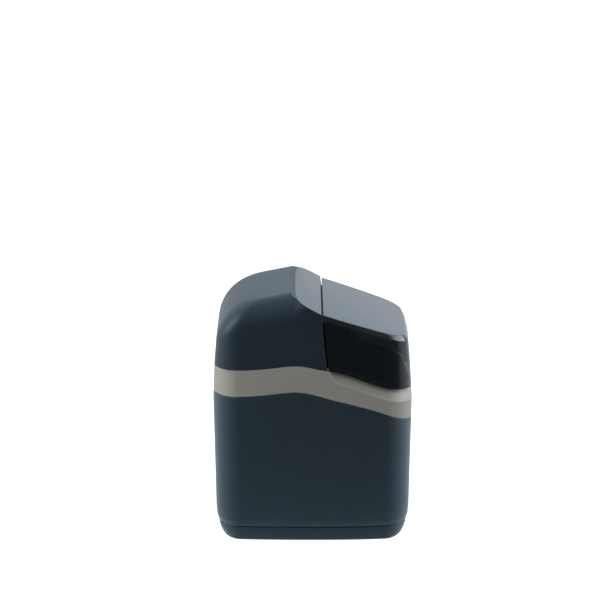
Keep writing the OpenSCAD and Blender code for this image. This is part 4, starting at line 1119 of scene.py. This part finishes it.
# edge break of each inner moulding, mm
MOULDINGS = {
    "top_deck": 0.7, "bulkhead": 0.6, "control_board": 0.2, "switch_set": 0.15, "hinge_pins": 0.2, "visor_pads": 0.4,
    "tank_boot": 0.8, "riser_tube": 0.3, "lower_basket": 0.15, "upper_basket": 0.4, "neck_clamp": 0.8,
    "valve_body": 0.8, "rotor_seal": 0.2, "valve_rotor": 0.4, "wave_washer": 0.15, "valve_cover": 0.8,
    "cam_gear": 0.2, "motor_pinion": 0.12, "motor_bracket": 0.4, "drive_motor": 0.8, "position_switch": 0.3,
    "turbine_support": 0.15, "flow_turbine": 0.12, "venturi_housing": 0.8, "venturi_cap": 0.5, "port_clips": 0.25,
    "port_panel": 0.5, "power_inlet": 0.25, "brine_well": 0.3, "well_cap": 0.8, "brine_valve": 0.5, "brine_float": 1.6,
    "overflow_grommet": 0.4, "resin_tank": 0.0, "resin_bed": 0.0, "neck_seal": 0.0, "brine_tube": 0.0,
    "display_lens": 0.4,
}


def build_mouldings():
    """The inner mouldings, seals, gears and tubes, in their finishes."""
    for node, edge in MOULDINGS.items():
        place(dress(node, edge), node)


# ---------------------------------------------------------------- stage


def build_stage():
    """Camera as in the photograph, a white floor, four soft lamps and a white cove."""
    scene = bpy.context.scene
    scene.view_settings.view_transform = "Standard"
    cam_data = bpy.data.cameras.new("camera")
    cam_data.sensor_width = 36
    cam_data.lens = 128.1
    cam = bpy.data.objects.new("camera", cam_data)
    cam.location = (-5.0, 0.0315, 2.015)
    cam.rotation_euler = (math.radians(90 - 16.18), 0, math.radians(-90))
    scene.collection.objects.link(cam)
    scene.camera = cam

    far = 9000
    floor = prism("floor", [(-far, -far), (far, -far), (far, far), (-far, far)], -20, -0.4, build_floor(), Matrix())

    def lamp(name, size, power, at, gloss=True):
        data = bpy.data.lights.new(name, "AREA")
        data.shape = "RECTANGLE"
        data.size, data.size_y = size
        data.energy = power
        obj = bpy.data.objects.new(name, data)
        obj.location = at
        obj.rotation_euler = (Vector((0, 0, 0.35)) - Vector(at)).to_track_quat("-Z", "Y").to_euler()
        obj.visible_glossy = gloss
        scene.collection.objects.link(obj)

    lamp("overhead_softbox", (2.4, 2.4), 4, (0.3, 0.0, 2.7))
    lamp("front_softbox", (1.9, 2.3), 78, (0.3, -2.2, 1.4))
    lamp("rear_softbox", (1.4, 1.8), 72, (-0.3, 2.2, 1.4))
    lamp("camera_fill", (3.6, 1.6), 54, (-2.4, 0.0, 2.95), False)
    build_world()


def eye_rays(tree):
    """The light path's outputs, and 1 for rays that reach the camera straight or through the window."""
    path = add(tree, "ShaderNodeLightPath").outputs
    return path, maths(tree, "MAXIMUM", path["Is Camera Ray"], path["Is Transmission Ray"])


def fall_off(tree, coordinates, near, far, low):
    """Falls smoothly from 1 at X = far to a low share at X = near, the unlit side of the studio."""
    at = add(tree, "ShaderNodeTexCoord").outputs[coordinates]
    x = add(tree, "ShaderNodeSeparateXYZ", links={"Vector": at}).outputs["X"]
    return add(tree, "ShaderNodeMapRange", {"interpolation_type": "SMOOTHSTEP"},
               {"From Min": near, "From Max": far, "To Min": low, "To Max": 1.0}, {"Value": x}).outputs["Result"]


def build_floor():
    """White paper sweep: matt, and white to the camera even where the lamps fall off; a painted glow in reflections."""
    mat = bpy.data.materials.new("paper_sweep")
    tree, out = fresh_tree(mat, "ShaderNodeOutputMaterial")
    path, seen = eye_rays(tree)
    paper = add(tree, "ShaderNodeBsdfPrincipled",
                inputs={"Base Color": (0.55, 0.55, 0.55, 1), "Roughness": 0.9, "Specular IOR Level": 0.1,
                        "Emission Color": (1, 1, 1, 1)},
                links={"Emission Strength": maths(tree, "MULTIPLY", seen, 0.9)})
    # painted reflection of the floor: a glow, full behind the object and low towards the camera
    sheen = add(tree, "ShaderNodeEmission", links={"Strength": fall_off(tree, "Object", -0.9, -0.1, 0.1)})
    surface = add(tree, "ShaderNodeMixShader", links={"Fac": path["Is Glossy Ray"], 1: paper.outputs["BSDF"],
                                                      2: sheen.outputs["Emission"]})
    tree.links.new(surface.outputs["Shader"], out)
    return mat


def build_world():
    """A white cove behind and above, dark towards the camera, and plain white to the camera itself."""
    world = bpy.data.worlds.new("cove")
    bpy.context.scene.world = world
    tree, out = fresh_tree(world, "ShaderNodeOutputWorld")
    path, seen = eye_rays(tree)
    share = add(tree, "ShaderNodeMapRange", inputs={"To Min": 0.2, "To Max": 1.0},
                links={"Value": path["Is Glossy Ray"]})
    level = maths(tree, "MULTIPLY", fall_off(tree, "Generated", -0.75, 0.05, 0.3), share.outputs["Result"])
    cove = add(tree, "ShaderNodeBackground", inputs={"Color": (1, 1, 1, 1)}, links={"Strength": level})
    plain = add(tree, "ShaderNodeBackground", inputs={"Color": (1, 1, 1, 1), "Strength": 1.0})
    both = add(tree, "ShaderNodeMixShader", links={"Fac": seen, 1: cove.outputs["Background"],
                                                  2: plain.outputs["Background"]})
    tree.links.new(both.outputs["Shader"], out)


# ---------------------------------------------------------------- operators, panel and run


class SOFTENER_OT_finishes(bpy.types.Operator):
    """Mix every material"""
    bl_idname = "softener.finishes"
    bl_label = "Finishes"

    def execute(self, context):
        build_finishes(context.scene.softener_colours)
        for name, obj in NODES.items():
            obj.data.materials.clear()
            obj.data.materials.append(finish_of(name))
        return {"FINISHED"}


class SOFTENER_OT_tank(bpy.types.Operator):
    """Build the brine tank's blow-moulded shell"""
    bl_idname = "softener.tank"
    bl_label = "Brine tank"

    def execute(self, context):
        build_tank(context.scene.softener_sizes)
        return {"FINISHED"}


class SOFTENER_OT_band(bpy.types.Operator):
    """Build the waved band with its finger scoop"""
    bl_idname = "softener.band"
    bl_label = "Rim band"

    def execute(self, context):
        build_band()
        return {"FINISHED"}


class SOFTENER_OT_hood(bpy.types.Operator):
    """Build the rear hood and its silver inlay"""
    bl_idname = "softener.hood"
    bl_label = "Rear hood"

    def execute(self, context):
        build_hood(context.scene.softener_sizes)
        return {"FINISHED"}


class SOFTENER_OT_visor(bpy.types.Operator):
    """Build the smoked visor and its silver plate"""
    bl_idname = "softener.visor"
    bl_label = "Visor"

    def execute(self, context):
        build_visor(context.scene.softener_sizes)
        build_plate(context.scene.softener_sizes)
        return {"FINISHED"}


class SOFTENER_OT_console(bpy.types.Operator):
    """Build the console and its display"""
    bl_idname = "softener.console"
    bl_label = "Console"

    def execute(self, context):
        build_console(context.scene.softener_sizes)
        return {"FINISHED"}


class SOFTENER_OT_buttons(bpy.types.Operator):
    """Build the four push buttons with their signs"""
    bl_idname = "softener.buttons"
    bl_label = "Push buttons"

    def execute(self, context):
        build_buttons()
        return {"FINISHED"}


class SOFTENER_OT_screws(bpy.types.Operator):
    """Set the valve's screws on their points"""
    bl_idname = "softener.screws"
    bl_label = "Screws"

    def execute(self, context):
        build_screws(context.scene.softener_sizes)
        return {"FINISHED"}


class SOFTENER_OT_ports(bpy.types.Operator):
    """Build the threaded water ports and the drain barb"""
    bl_idname = "softener.ports"
    bl_label = "Water ports"

    def execute(self, context):
        build_ports(context.scene.softener_sizes)
        return {"FINISHED"}


class SOFTENER_OT_mouldings(bpy.types.Operator):
    """Break the edges of the inner mouldings"""
    bl_idname = "softener.mouldings"
    bl_label = "Inner mouldings"

    def execute(self, context):
        build_mouldings()
        return {"FINISHED"}


class SOFTENER_OT_stage(bpy.types.Operator):
    """Set up the camera, the floor and the lamps"""
    bl_idname = "softener.stage"
    bl_label = "Stage"

    def execute(self, context):
        build_stage()
        return {"FINISHED"}


OPERATORS = (SOFTENER_OT_stage, SOFTENER_OT_finishes, SOFTENER_OT_tank, SOFTENER_OT_band, SOFTENER_OT_hood,
             SOFTENER_OT_visor, SOFTENER_OT_console, SOFTENER_OT_buttons, SOFTENER_OT_screws, SOFTENER_OT_ports,
             SOFTENER_OT_mouldings)


class SOFTENER_PT_build(bpy.types.Panel):
    """Builds the water softener piece by piece"""
    bl_label = "Water softener"
    bl_idname = "SOFTENER_PT_build"
    bl_space_type = "VIEW_3D"
    bl_region_type = "UI"
    bl_category = "Softener"

    def draw(self, context):
        layout = self.layout
        for group in (context.scene.softener_sizes, context.scene.softener_colours):
            box = layout.box()
            for name in group.__annotations__:
                box.prop(group, name)
        for operator in OPERATORS:
            layout.operator(operator.bl_idname)


CLASSES = (SoftenerSizes, SoftenerColours) + OPERATORS + (SOFTENER_PT_build,)


def register():
    for cls in CLASSES:
        bpy.utils.register_class(cls)
    bpy.types.Scene.softener_sizes = bpy.props.PointerProperty(type=SoftenerSizes)
    bpy.types.Scene.softener_colours = bpy.props.PointerProperty(type=SoftenerColours)


def unregister():
    del bpy.types.Scene.softener_colours
    del bpy.types.Scene.softener_sizes
    for cls in reversed(CLASSES):
        bpy.utils.unregister_class(cls)


def main():
    register()
    for operator in OPERATORS:
        getattr(bpy.ops.softener, operator.bl_idname.split(".")[1])()


if __name__ == "__main__":
    main()
